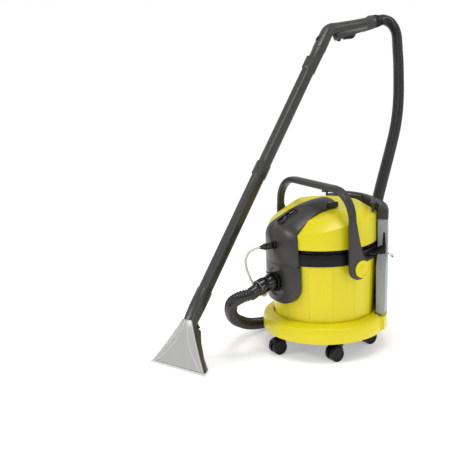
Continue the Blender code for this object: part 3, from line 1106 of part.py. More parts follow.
def build_nozzle(frame):
    up = Vector((0, sin(WAND_LEAN), cos(WAND_LEAN)))
    foot = Vector((0, NOZZLE_AXIS_Y, 0))
    slope = WINDOW_RUN / WINDOW_HEIGHT
    setback = WINDOW_THICKNESS + 0.0012

    def level(z, half_front, rear, half_rear):
        return blend_ring((0, 0, z), (0, 0, 1), half_front, half_rear, z * slope + setback, rear, 0.35)

    def neck(distance, radius, keel):
        centre = foot + up * distance
        ring = keeled_ring(0, radius, keel, KEEL_HALF_WIDTH)
        right = Vector((1, 0, 0))
        back = up.cross(right)
        return [centre + right * p.x + back * p.y for p in ring]
    half = NOZZLE_WIDTH / 2
    outer = [level(0.0040, half - 0.0040, 0.0470, 0.0830), level(0.0300, half * 0.76, 0.0570, 0.0620),
             level(0.0650, half * 0.47, 0.0740, 0.0400), level(0.0950, half * 0.285, 0.0900, 0.0270),
             neck(NECK_START - 0.004, 0.0205, 0.0210), neck(NECK_START + 0.020, 0.0205, 0.0245),
             neck(NECK_START + 0.050, NECK_BACK, 0.0262), neck(NECK_END, NECK_BACK, 0.0262)]
    body = add("nozzle_body", loft("nozzle_body", outer), WAND_GREY, parent=frame)
    inner = [blend_ring((0, 0, -0.010), (0, 0, 1), half - 0.0120, half - 0.0140, 0.0095, 0.0245, 0.3),
             blend_ring((0, 0, 0.014), (0, 0, 1), half * 0.80, half * 0.76, 0.0112, 0.0262, 0.3),
             blend_ring((0, 0, 0.034), (0, 0, 1), half * 0.62, half * 0.57, 0.0205, 0.0370, 0.35),
             blend_ring((0, 0, 0.065), (0, 0, 1), half * 0.38, half * 0.33, 0.0350, 0.0570, 0.5)]
    inner += [[foot + up * d + Vector((1, 0, 0)) * p.x + up.cross(Vector((1, 0, 0))) * p.y
               for p in plain_ring(0, r)] for d, r in ((NECK_START - 0.030, 0.0125), (NECK_END - SPIGOT_LENGTH - 0.004, TUBE_BORE),
                                                       (NECK_END + 0.01, TUBE_BORE))]
    cut(body, add("nozzle_airway", loft("nozzle_airway", inner), BLACK, parent=frame))
    # flat seat for the window, on the body's front
    seat = box("window_seat", (-NOZZLE_WIDTH, -0.060, -0.050), (NOZZLE_WIDTH, WINDOW_THICKNESS + CLEAR, 0.200),
               parent=frame, rotation=(-atan2(WINDOW_RUN, WINDOW_HEIGHT), 0, 0))
    above = [(0, 0.30), (0.30, 0.30), (0.30, WINDOW_HEIGHT + CLEAR), (0, WINDOW_HEIGHT + CLEAR)]
    cut(seat, turned("above_window", above, BLACK, 4, parent=frame))
    cut(body, seat)
    wand = bpy.data.objects["wand_frame"]
    cut(body, latch_pocket("nozzle_latch_pocket", NECK_END - 0.024, NECK_BACK, wand))
    # clear window from the lip to the neck
    facing = Vector((0, -WINDOW_HEIGHT, WINDOW_RUN)).normalized()
    low_share = (LIP_HEIGHT + WINDOW_THICKNESS * facing.z + 2 * CLEAR) / WINDOW_HEIGHT
    rings = []
    for share in (0.0, 0.08, 0.25, 0.45, 0.65, 0.85, 1.0):
        share = low_share + share * (1 - low_share)
        low = Vector((0, WINDOW_RUN, WINDOW_HEIGHT)) * share
        width = WINDOW_TOP_HALF + (half - WINDOW_TOP_HALF) * (1 - share) ** 1.12
        rings.append([low + Vector((side * width, 0, 0)) - facing * depth
                      for side, depth in ((-1, 0), (1, 0), (1, WINDOW_THICKNESS), (-1, WINDOW_THICKNESS))])
    add("nozzle_window", loft("nozzle_window", rings), WINDOW_CLEAR, parent=frame)
    lip = [(0.0000, 0.0000), (0.0030, 0.0000), (0.0062, LIP_HEIGHT), (0.0024, LIP_HEIGHT)]
    add("nozzle_lip", outline_lip(lip, NOZZLE_WIDTH), LIP_WHITE, parent=frame)
    jet = [(0.0905, 0.0900), (0.0990, 0.0860), (0.1010, 0.0900), (0.0965, 0.0935), (0.1060, 0.0955), (0.1070, 0.1000),
           (0.0985, 0.1010), (0.1010, 0.1080), (0.0990, 0.1110), (0.0940, 0.1050)]
    side_plate("spray_jet", [(y - 0.0015, z) for y, z in jet], 0, 0.0140, BLACK, parent=frame)


def outline_lip(section, width):
    mesh = outline_solid("nozzle_lip", section, width)
    mesh.transform(YZ_PLANE)
    return mesh


def build_wand():
    frame = empty("wand_frame", WAND_FOOT, (-WAND_LEAN, 0, WAND_PLAN))
    build_tubes(frame)
    twist = empty("handle_frame", (0, 0, ELBOW), (0, 0, HANDLE_TWIST), frame)
    grip = empty("grip_frame", (0, 0, 0), (pi / 2 - ELBOW_BEND, 0, 0), twist)
    build_handle(grip)
    nozzle = empty("nozzle_frame", NOZZLE_ORIGIN, (0, 0, WAND_PLAN))
    build_nozzle(nozzle)


# ---------------------------------------------------------------- build
build_chassis()
build_casters()
build_drum()
build_lower_panel()
build_upper_panel()
build_head_base()
build_cable_gland()
build_wire_hook()
build_head_cover()
build_suction_unit()
build_filter()
build_bail()
build_tank()
build_hose()
build_wand()
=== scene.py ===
"""Dresses the spray-extraction canister cleaner: smooth moulded shells, ribbed hose, materials and stage."""
import json
from math import atan2, cos, pi, radians, sin

import bmesh
import bpy
from bpy.props import FloatProperty, FloatVectorProperty, IntProperty, PointerProperty
from mathutils import Matrix, Vector

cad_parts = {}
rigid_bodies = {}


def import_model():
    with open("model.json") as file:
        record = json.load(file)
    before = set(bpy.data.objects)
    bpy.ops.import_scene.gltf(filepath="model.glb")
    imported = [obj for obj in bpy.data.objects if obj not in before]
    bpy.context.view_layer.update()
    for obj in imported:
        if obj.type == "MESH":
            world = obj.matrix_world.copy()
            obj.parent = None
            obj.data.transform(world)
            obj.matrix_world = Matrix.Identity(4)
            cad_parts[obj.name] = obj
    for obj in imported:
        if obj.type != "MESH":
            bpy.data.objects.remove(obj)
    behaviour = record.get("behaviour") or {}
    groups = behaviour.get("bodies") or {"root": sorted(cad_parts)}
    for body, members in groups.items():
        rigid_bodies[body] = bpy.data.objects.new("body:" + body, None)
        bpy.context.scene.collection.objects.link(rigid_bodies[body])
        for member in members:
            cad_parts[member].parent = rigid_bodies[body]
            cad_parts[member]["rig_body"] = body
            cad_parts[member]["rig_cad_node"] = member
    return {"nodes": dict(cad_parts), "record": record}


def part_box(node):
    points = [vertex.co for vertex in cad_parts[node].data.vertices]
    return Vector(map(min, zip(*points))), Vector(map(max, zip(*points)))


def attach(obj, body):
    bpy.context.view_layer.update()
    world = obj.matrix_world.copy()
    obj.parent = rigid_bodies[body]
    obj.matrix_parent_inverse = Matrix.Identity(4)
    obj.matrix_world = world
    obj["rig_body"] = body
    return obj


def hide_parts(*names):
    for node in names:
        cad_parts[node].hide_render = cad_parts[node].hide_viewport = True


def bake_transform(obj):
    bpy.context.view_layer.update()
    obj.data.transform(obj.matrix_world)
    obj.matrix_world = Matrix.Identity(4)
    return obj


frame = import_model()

bl_info = {
    "name": "Spray-extraction cleaner",
    "version": (1, 0, 0),
    "blender": (4, 5, 0),
    "location": "View3D > Sidebar > Cleaner",
    "description": "Builds the shells, hose, wand and finishes of a canister carpet cleaner",
    "category": "Object",
}

NODES = frame["nodes"]
BODY_OF = {node: body for body, nodes in frame["record"]["behaviour"]["bodies"].items() for node in nodes}
SLOT_OF = {part["node"]: part["material_slot"] for part in frame["record"]["subparts"]}
CAMERA_PLACE = (2.0225, -1.4695, 0.902)
CAMERA_AZIMUTH = 60.7
CAMERA_DOWN = 13.1
CAMERA_ROLL = -2.36
CAMERA_LENS = 68.0
CAMERA_SENSOR = 36.0
FLOOR_HEIGHT = -0.058
FLOOR_SIZE = 4
FLOOR_GLOW = 0.36
BACKDROP_LIGHT = 0.54     # what the backdrop sheds
BACKDROP_SEEN = 1.0       # what the camera sees of it
LIGHT_TARGET = Vector((0, -0.05, 0.25))
LIGHTS = (                # name, place, size in metres, watts
    ("key_softbox", (-0.8, -3.1, 2.1), 0.9, 27), ("side_softbox", (2.9, 0.5, 1.3), 0.7, 8),
    ("rim_softbox", (0.6, 2.8, 2.2), 1.0, 9), ("left_fill", (-3.0, -0.6, 1.8), 1.6, 6),
    ("top_softbox", (0.4, -0.2, 3.2), 1.2, 26),
)
HOSE_RADIUS = 0.019
SPRAY_TUBE_RADIUS = 0.0035
HOSE_ROUTE = [
    (0.0000, -0.2383, 0.1530), (0.0000, -0.2583, 0.1446), (-0.0150, -0.2835, 0.1360),
    (-0.0410, -0.2965, 0.1160), (-0.0635, -0.2910, 0.0890), (-0.0850, -0.2770, 0.0640),
    (-0.1060, -0.2575, 0.0420), (-0.1270, -0.2350, 0.0240), (-0.1480, -0.2100, 0.0080),
    (-0.1785, -0.1630, -0.0180), (-0.2040, -0.0970, -0.0360), (-0.2180, -0.0245, -0.0382),
    (-0.2160, 0.0490, -0.0382), (-0.1975, 0.1205, -0.0382), (-0.1670, 0.1870, -0.0320),
    (-0.1260, 0.2400, -0.0060), (-0.0940, 0.2675, 0.0515), (-0.0865, 0.2685, 0.1250),
    (-0.0795, 0.2605, 0.1975), (-0.0880, 0.2695, 0.2695), (-0.1120, 0.3050, 0.3295),
    (-0.1395, 0.3475, 0.3835), (-0.1675, 0.3910, 0.4360), (-0.1950, 0.4340, 0.4890),
    (-0.2230, 0.4755, 0.5435), (-0.2570, 0.5150, 0.5955), (-0.2950, 0.5520, 0.6470),
    (-0.3335, 0.5855, 0.7000), (-0.3650, 0.6110, 0.7560), (-0.3840, 0.6240, 0.7960),
    (-0.3945, 0.6305, 0.8260), (-0.4010, 0.6325, 0.8510), (-0.4070, 0.6265, 0.8750),
    (-0.4125, 0.6105, 0.8955), (-0.4162, 0.5845, 0.9044), (-0.4138, 0.5628, 0.9023),
]
SPRAY_ROUTE = [
    (0.000, -0.2228, 0.2780), (0.000, -0.2290, 0.2780), (-0.008, -0.2400, 0.2735), (-0.026, -0.246, 0.2590),
    (-0.045, -0.245, 0.2330), (-0.052, -0.238, 0.2050), (-0.045, -0.232, 0.1800), (-0.033, -0.226, 0.1560),
    (-0.024, -0.217, 0.1370), (-0.012, -0.208, 0.1275), (-0.001, -0.2040, 0.1330), (0.000, -0.2035, 0.1415),
]
WAND_FOOT = Vector((-0.0485, -0.5203, -0.058))
WAND_LEAN = radians(44)
WAND_PLAN = radians(22)
ELBOW = 1.301
HANDLE_TWIST = radians(-23.5)
ELBOW_BEND = radians(42.6)
NOZZLE_PLACE = Vector((-0.0660, -0.4770, -0.058))
WAND = (Matrix.Translation(WAND_FOOT) @ Matrix.Rotation(WAND_PLAN, 4, 'Z')
        @ Matrix.Rotation(-WAND_LEAN, 4, 'X'))
GRIP = (WAND @ Matrix.Translation((0, 0, ELBOW)) @ Matrix.Rotation(HANDLE_TWIST, 4, 'Z')
        @ Matrix.Rotation(pi / 2 - ELBOW_BEND, 4, 'X'))
NOZZLE = Matrix.Translation(NOZZLE_PLACE) @ Matrix.Rotation(WAND_PLAN, 4, 'Z')
SWITCH = Matrix.Translation((0, -0.125, 0.3573)) @ Matrix.Rotation(radians(25.7), 4, 'X')
INLET = Vector((0, -0.180, 0.167))
STAVES = 14
DRUM_LOW = 0.1515         # radius at the shoulder
DRUM_HIGH = 0.1585        # radius at the rim
SHOULDER_TOP = 0.0545
DRUM_RIM = 0.235
WINDOW_HEIGHT = 0.1354
WINDOW_RUN = 0.0549
NOZZLE_HALF = 0.1015
COLLAR_LUGS = 14
LUG_RADIUS = 0.0253
GROOVE_DEEP = 0.0006
PANEL_FACE = -0.1675
DISH_RADIUS = 0.0430
COLLAR_END = 0.2155
WHEEL_GAP = 0.0050        # half the space between a caster's two wheels


def srgb(code):
    """Linear red, green and blue of an sRGB hex code."""
    parts = [int(code[i:i + 2], 16) / 255 for i in (1, 3, 5)]
    return tuple(c / 12.92 if c <= 0.04045 else ((c + 0.055) / 1.055) ** 2.4 for c in parts)


# ---------------------------------------------------------------- settings
def colour(name, code, words):
    return FloatVectorProperty(name=name, description=words, default=srgb(code), subtype='COLOR',
                               min=0, max=1)


class CleanerColours(bpy.types.PropertyGroup):
    """Colours of the cleaner's plastics."""
    shell: colour("Shell", "#EBDC10", "Yellow ABS of the drum, chassis and cover")
    panel: colour("Panel", "#363533", "Warm grey ABS of the front panels, bail and tank lid")
    trim: colour("Trim", "#0E0E0D", "Near-black nylon and polypropylene fittings")
    wand: colour("Wand", "#3C3C39", "Dark grey polypropylene of the wand")
    tank: colour("Tank", "#AEB4BB", "Clouded polyethylene of the clean-water tank")
    window: colour("Window", "#D6D6D5", "Clear polycarbonate window of the floor nozzle")
    lip: colour("Lip", "#DCDCD9", "Pale lip of the floor nozzle")
    hose: colour("Hose", "#1E1E1C", "Ribbed EVA suction hose")


class CleanerSizes(bpy.types.PropertyGroup):
    """Sizes of the fine detail."""
    edge: FloatProperty(name="Moulded edge", description="Radius on the moulded shells' edges",
                        default=0.0012, min=0.0002, max=0.004, unit='LENGTH')
    small_edge: FloatProperty(name="Fine edge", description="Radius on small fittings' edges",
                              default=0.0006, min=0.0001, max=0.002, unit='LENGTH')
    rib_pitch: FloatProperty(name="Hose rib pitch", description="Distance from rib to rib along the hose",
                             default=0.0080, min=0.003, max=0.012, unit='LENGTH')
    rib_depth: FloatProperty(name="Hose rib depth", description="How deep the groove between two ribs is",
                             default=0.0034, min=0.0005, max=0.004, unit='LENGTH')
    hose_sides: IntProperty(name="Hose sides", description="Facets round the hose",
                            default=20, min=12, max=32)


def colours():
    return bpy.context.scene.cleaner_colours


def sizes():
    return bpy.context.scene.cleaner_sizes


# ---------------------------------------------------------------- materials
def add(tree, kind, links=(), **settings):
    """Adds a shader node: links feed its inputs by name or number, settings are its attributes."""
    node = tree.nodes.new(kind)
    for name, value in settings.items():
        setattr(node, name, value)
    for socket, source in dict(links).items():
        if isinstance(source, bpy.types.NodeSocket):
            tree.links.new(source, node.inputs[socket])
        else:
            node.inputs[socket].default_value = source
    return node


def shade(value, factor):
    return (*(min(1.0, c * factor) for c in value), 1)


def plastic(name, value, roughness, grain, grain_depth, mottle=0.03, coat=0.0, spread=0.06, transmission=0.0,
            scatter=0.0, ior=1.50, dust=0.0, specular=0.5):
    """A moulded plastic: faint colour drift, a roughness that varies with handling, and the mould's grain.

    grain is the grain's size in metres; grain_depth is how deep it is.
    """
    material = bpy.data.materials.new(name)
    material.use_nodes = True
    tree = material.node_tree
    shader = tree.nodes["Principled BSDF"]
    place = add(tree, 'ShaderNodeTexCoord').outputs["Object"]
    drift = add(tree, 'ShaderNodeTexNoise',
                {"Vector": place, "Scale": 14.0, "Detail": 3.0, "Roughness": 0.55})
    tint = add(tree, 'ShaderNodeMix', {"Factor": drift.outputs["Fac"], 6: shade(value, 1 - mottle),
                                       7: shade(value, 1 + mottle)}, data_type='RGBA')
    tree.links.new(tint.outputs[2], shader.inputs["Base Color"])
    if dust:
        # a thin film of dust lies on what faces up
        facing = add(tree, 'ShaderNodeSeparateXYZ', {0: add(tree, 'ShaderNodeNewGeometry').outputs["Normal"]})
        film = add(tree, 'ShaderNodeMapRange', {"Value": facing.outputs["Z"], "From Min": 0.2,
                                                "From Max": 1.0, "To Min": 0.0, "To Max": dust})
        pale = add(tree, 'ShaderNodeMix', {"Factor": film.outputs["Result"], 6: tint.outputs[2],
                                           7: (0.35, 0.34, 0.32, 1)}, data_type='RGBA')
        tree.links.new(pale.outputs[2], shader.inputs["Base Color"])
    rub = add(tree, 'ShaderNodeTexNoise', {"Vector": place, "Scale": 45.0, "Detail": 5.0, "Roughness": 0.6})
    gloss = add(tree, 'ShaderNodeMapRange', {"Value": rub.outputs["Fac"], "From Min": 0.3, "From Max": 0.7,
                                             "To Min": roughness - spread, "To Max": roughness + spread})
    tree.links.new(gloss.outputs["Result"], shader.inputs["Roughness"])
    fine = add(tree, 'ShaderNodeTexNoise', {"Vector": place, "Scale": 1.0 / grain, "Detail": 2.0})
    bump = add(tree, 'ShaderNodeBump',
               {"Height": fine.outputs["Fac"], "Strength": 0.35, "Distance": grain_depth})
    tree.links.new(bump.outputs["Normal"], shader.inputs["Normal"])
    shader.inputs["IOR"].default_value = ior
    shader.inputs["Specular IOR Level"].default_value = specular
    shader.inputs["Coat Weight"].default_value = coat
    shader.inputs["Coat Roughness"].default_value = 0.16
    shader.inputs["Transmission Weight"].default_value = transmission
    shader.inputs["Subsurface Weight"].default_value = scatter
    shader.inputs["Subsurface Radius"].default_value = (0.006, 0.006, 0.006)
    shader.inputs["Subsurface Scale"].default_value = 1.0
    return material


def metal(name, value, roughness, scale=900.0, stretch=(1.0, 1.0, 0.05)):
    """A drawn or turned metal, with fine lines along the way it was worked."""
    material = bpy.data.materials.new(name)
    material.use_nodes = True
    tree = material.node_tree
    shader = tree.nodes["Principled BSDF"]
    place = add(tree, 'ShaderNodeTexCoord').outputs["Object"]
    drawn = add(tree, 'ShaderNodeMapping', {"Vector": place, "Scale": stretch})
    lines = add(tree, 'ShaderNodeTexNoise', {"Vector": drawn.outputs[0], "Scale": scale, "Detail": 3.0})
    tint = add(tree, 'ShaderNodeMix', {"Factor": lines.outputs["Fac"], 6: shade(value, 0.86),
                                       7: shade(value, 1.08)}, data_type='RGBA')
    gloss = add(tree, 'ShaderNodeMapRange', {"Value": lines.outputs["Fac"], "To Min": roughness - 0.08,
                                             "To Max": roughness + 0.10})
    bump = add(tree, 'ShaderNodeBump', {"Height": lines.outputs["Fac"], "Strength": 0.25, "Distance": 0.0001})
    tree.links.new(tint.outputs[2], shader.inputs["Base Color"])
    tree.links.new(gloss.outputs["Result"], shader.inputs["Roughness"])
    tree.links.new(bump.outputs["Normal"], shader.inputs["Normal"])
    shader.inputs["Metallic"].default_value = 1.0
    return material


def foam(name, value):
    """Open-cell polyurethane: matt, with pores about 1.5 mm across, their hollows painted darker as shade."""
    material = bpy.data.materials.new(name)
    material.use_nodes = True
    tree = material.node_tree
    shader = tree.nodes["Principled BSDF"]
    place = add(tree, 'ShaderNodeTexCoord').outputs["Object"]
    cells = add(tree, 'ShaderNodeTexVoronoi', {"Vector": place, "Scale": 650.0})
    # painted shade: each pore darkens towards its middle, where the bump sinks deepest, and the struts
    # between pores are lighter
    tint = add(tree, 'ShaderNodeMix', {"Factor": cells.outputs["Distance"], 6: shade(value, 0.45),
                                       7: shade(value, 1.25)}, data_type='RGBA')
    bump = add(tree, 'ShaderNodeBump',
               {"Height": cells.outputs["Distance"], "Strength": 0.9, "Distance": 0.001})
    tree.links.new(tint.outputs[2], shader.inputs["Base Color"])
    tree.links.new(bump.outputs["Normal"], shader.inputs["Normal"])
    shader.inputs["Roughness"].default_value = 0.95
    return material


MATERIALS = {}


def library():
    """Every finish of the machine, made once."""
    if MATERIALS:
        return MATERIALS
    c = colours()
    # polished steel moulds: an even, glossy skin with a very faint orange peel
    MATERIALS["yellow"] = plastic("yellow_moulded_ABS", c.shell, 0.30, 0.0100, 0.00001, mottle=0.003,
                                  coat=0.12, spread=0.008, specular=0.4)
    # spark-eroded moulds leave a fine sandy grain that softens the highlights
    MATERIALS["grey"] = plastic("grained_grey_ABS", c.panel, 0.34, 0.0008, 0.00005, mottle=0.03,
                                dust=0.006, specular=0.45)
    MATERIALS["black"] = plastic("black_nylon", c.trim, 0.34, 0.0010, 0.00004, mottle=0.06, specular=0.25)
    # polished, unpainted nylon: near-black with sharp highlights
    MATERIALS["gloss"] = plastic("glossy_black_nylon", srgb("#0C0C0C"), 0.14, 0.0030, 0.00002, mottle=0.04,
                                 spread=0.04, specular=0.5)
    MATERIALS["wand"] = plastic("dark_grey_polypropylene", c.wand, 0.30, 0.0012, 0.00006, mottle=0.04,
                                dust=0.01)
    # blow-moulded polyethylene is milky and waxy, with a slow ripple from the mould
    MATERIALS["tank"] = plastic("clouded_polyethylene", c.tank, 0.34, 0.0090, 0.00020, mottle=0.03,
                                transmission=0.12, scatter=0.25)
    MATERIALS["window"] = plastic("clear_polycarbonate", c.window, 0.16, 0.0080, 0.00005, mottle=0.02,
                                  spread=0.03, transmission=0.35, ior=1.585)
    MATERIALS["pale"] = plastic("pale_polypropylene", c.lip, 0.36, 0.0012, 0.00006, mottle=0.02)
    MATERIALS["clear_tube"] = plastic("clear_PVC_tube", srgb("#E4E4D8"), 0.22, 0.0060, 0.00004, mottle=0.03,
                                      spread=0.04, transmission=0.30, scatter=0.2)
    MATERIALS["hose"] = plastic("ribbed_EVA", c.hose, 0.22, 0.0014, 0.00002, mottle=0.06)
    MATERIALS["seal"] = plastic("nitrile_rubber", srgb("#1A1A1A"), 0.72, 0.0009, 0.00012, mottle=0.10)
    MATERIALS["foam"] = foam("polyurethane_foam", srgb("#4A4A4F"))
    MATERIALS["steel"] = metal("drawn_steel_wire", srgb("#C4C5C8"), 0.28)
    MATERIALS["fan"] = metal("pressed_aluminium", srgb("#C9CACC"), 0.34, 500.0)
    MATERIALS["motor"] = metal("zinc_plated_sheet", srgb("#A9ABAE"), 0.40, 300.0)
    return MATERIALS


# ---------------------------------------------------------------- modelling helpers
def only(*objects):
    """Select just these objects; the last is active."""
    bpy.ops.object.select_all(action='DESELECT')
    for obj in objects:
        obj.select_set(True)
        bpy.context.view_layer.objects.active = obj


def apply_modifier(obj, kind, **settings):
    only(obj)
    modifier = obj.modifiers.new(kind.lower(), kind)
    for name, value in settings.items():
        setattr(modifier, name, value)
    bpy.ops.object.modifier_apply(modifier=modifier.name)


def rounded(obj, width, angle=35, segments=2):
    if width > 0:
        apply_modifier(obj, 'BEVEL', width=width, segments=segments, limit_method='ANGLE',
                       angle_limit=radians(angle), use_clamp_overlap=True,
                       miter_outer='MITER_ARC' if segments > 1 else 'MITER_SHARP')


def seat(obj, material, body, smooth=30):
    """Freeze a piece in place, shade it, paint it and let it ride."""
    only(obj)
    bpy.ops.object.transform_apply(location=True, rotation=True, scale=True)
    bpy.ops.object.shade_smooth_by_angle(angle=radians(smooth))
    obj.data.materials.clear()
    obj.data.materials.append(library()[material])
    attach(obj, body)
    return obj


def moulding(node, width, angle=35, segments=2):
    """A closed, edge-rounded copy of a solid, still to be seated."""
    only(NODES[node])
    bpy.ops.object.duplicate()
    obj = bpy.context.view_layer.objects.active
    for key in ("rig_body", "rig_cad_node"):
        del obj[key]
    obj.parent = None
    obj.name = node + "_moulding"
    bpy.ops.object.mode_set(mode='EDIT')
    bpy.ops.mesh.select_all(action='SELECT')
    bpy.ops.mesh.remove_doubles(threshold=0.00002)
    bpy.ops.mesh.dissolve_limited(angle_limit=radians(0.6))
    bpy.ops.object.mode_set(mode='OBJECT')
    rounded(obj, width, angle, segments)
    return obj


def dress(node, width=None, angle=35, segments=2, smooth=30, material=None):
    """Replace one solid by its rounded, smoothly shaded moulding."""
    obj = moulding(node, sizes().edge if width is None else width, angle, segments)
    seat(obj, material or SLOT_OF[node], BODY_OF[node], smooth)
    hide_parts(node)
    return obj


def disc(name, radius, depth, place, axis, vertices=32):
    """A cylinder with its axis along a direction."""
    bpy.ops.object.select_all(action='DESELECT')
    turn = Vector((0, 0, 1)).rotation_difference(Vector(axis)).to_euler()
    bpy.ops.mesh.primitive_cylinder_add(vertices=vertices, radius=radius, depth=depth,
                                        location=place, rotation=turn)
    obj = bpy.context.active_object
    obj.name = name
    return obj


def block(name, size, place, turn=(0, 0, 0)):
    bpy.ops.object.select_all(action='DESELECT')
    bpy.ops.mesh.primitive_cube_add(size=1, location=place, rotation=turn)
    obj = bpy.context.active_object
    obj.name = name
    obj.scale = size
    bpy.ops.object.transform_apply(location=False, rotation=False, scale=True)
    return obj


def pick_faces(obj, test):
    """In edit mode, select the faces whose local centre and normal pass a test."""
    bpy.ops.mesh.select_mode(type='FACE')
    bpy.ops.mesh.select_all(action='DESELECT')
    mesh = bmesh.from_edit_mesh(obj.data)
    for face in mesh.faces:
        if test(face.calc_center_median(), face.normal):
            face.select_set(True)
    bmesh.update_edit_mesh(obj.data)


def stepped(obj, steps, side=1):
    """Shape a disc's end face by insets and moves: (inset, rise) pairs, outwards from that end."""
    only(obj)
    bpy.ops.object.mode_set(mode='EDIT')
    for first, (inset, rise) in enumerate(steps):
        if first == 0:
            top = max(v.co.z * side for v in obj.data.vertices)
            pick_faces(obj, lambda c, n: n.z * side > 0.9 and c.z * side > top - 0.0001)
        if inset:
            bpy.ops.mesh.inset(thickness=inset)
        if rise:
            way = obj.matrix_world.to_3x3() @ Vector((0, 0, rise * side))
            bpy.ops.mesh.extrude_region_move(TRANSFORM_OT_translate={"value": way})
    bpy.ops.object.mode_set(mode='OBJECT')


def join(name, *objects):
    """Join pieces into one, named anew."""
    only(*objects)
    bpy.ops.object.join()
    obj = bpy.context.view_layer.objects.active
    obj.name = name
    return obj


def carve(obj, cutter):
    """Cut one piece out of another; the cutter is used up."""
    apply_modifier(obj, 'BOOLEAN', operation='DIFFERENCE', solver='EXACT', object=cutter)
    bpy.data.objects.remove(cutter)


def hoop(name, radius, bead, place, axis=(0, 0, 1), stretch=0.0, sides=48):
    """A round bead bent into a ring; stretch pulls its halves apart along its own Y into an oval."""
    turn = Vector((0, 0, 1)).rotation_difference(Vector(axis)).to_euler()
    bpy.ops.object.select_all(action='DESELECT')
    bpy.ops.mesh.primitive_torus_add(major_radius=radius, minor_radius=bead,
                                     major_segments=sides, minor_segments=10)
    obj = bpy.context.active_object
    obj.name = name
    if stretch:
        bpy.ops.object.mode_set(mode='EDIT')
        for side in (1, -1):
            pick_faces(obj, lambda c, n: c.y * side > 0)
            bpy.ops.transform.translate(value=(0, stretch * side, 0))
        bpy.ops.object.mode_set(mode='OBJECT')
    obj.location = place
    obj.rotation_euler = turn
    return obj


def laid_on(obj, points, way):
    """Where points meet a shell when they are moved along a direction."""
    hits = (obj.ray_cast(point, way) for point in points)
    return [place for hit, place, *rest in hits if hit]


def smooth_path(route, spacing):
    """Points about spacing apart on a smooth curve through a route."""
    knots = [Vector(point) for point in route]
    knots = [2 * knots[0] - knots[1]] + knots + [2 * knots[-1] - knots[-2]]
    path = []
    for before, start, end, after in zip(knots, knots[1:], knots[2:], knots[3:]):
        steps = max(1, round((end - start).length / spacing))
        for i in range(steps):
            t = i / steps
            path.append(0.5 * (2 * start + (end - before) * t
                               + (2 * before - 5 * start + 4 * end - after) * t ** 2
                               + (3 * start - 3 * end + after - before) * t ** 3))
    path.append(knots[-2])
    return path


def path_length(path):
    return sum((b - a).length for a, b in zip(path, path[1:]))


def even_path(path, spacing):
    """The same line with points evenly spaced along it."""
    total = path_length(path)
    count = max(2, round(total / spacing))
    out = [path[0]]
    walked = 0.0
    target = total / count
    for a, b in zip(path, path[1:]):
        length = (b - a).length
        while walked + length >= target - 1e-9 and len(out) < count:
            out.append(a.lerp(b, (target - walked) / length))
            target += total / count
        walked += length
    out.append(path[-1])
    return out


def swept(name, path, radius, sides, start_side=(0, 0, 1)):
    """A closed tube along a path; radius(i, angle) gives its skin."""
    mesh = bpy.data.meshes.new(name)
    shape = bmesh.new()
    side = Vector(start_side)
    rings = []
    for i, point in enumerate(path):
        ahead = path[min(i + 1, len(path) - 1)] - path[max(i - 1, 0)]
        way = ahead.normalized()
        side = (side - way * side.dot(way)).normalized()
        across = way.cross(side)
        ring = []
        for j in range(sides):
            angle = 2 * pi * j / sides
            ring.append(shape.verts.new(point + radius(i, angle) * (side * cos(angle) + across * sin(angle))))
        rings.append(ring)
    for low, high in zip(rings, rings[1:]):
        for j in range(sides):
            k = (j + 1) % sides
            shape.faces.new((low[j], low[k], high[k], high[j]))
    shape.faces.new(rings[0])
    shape.faces.new(rings[-1])
    bmesh.ops.recalc_face_normals(shape, faces=shape.faces)
    shape.to_mesh(mesh)
    shape.free()
    obj = bpy.data.objects.new(name, mesh)
    bpy.context.scene.collection.objects.link(obj)
    return obj


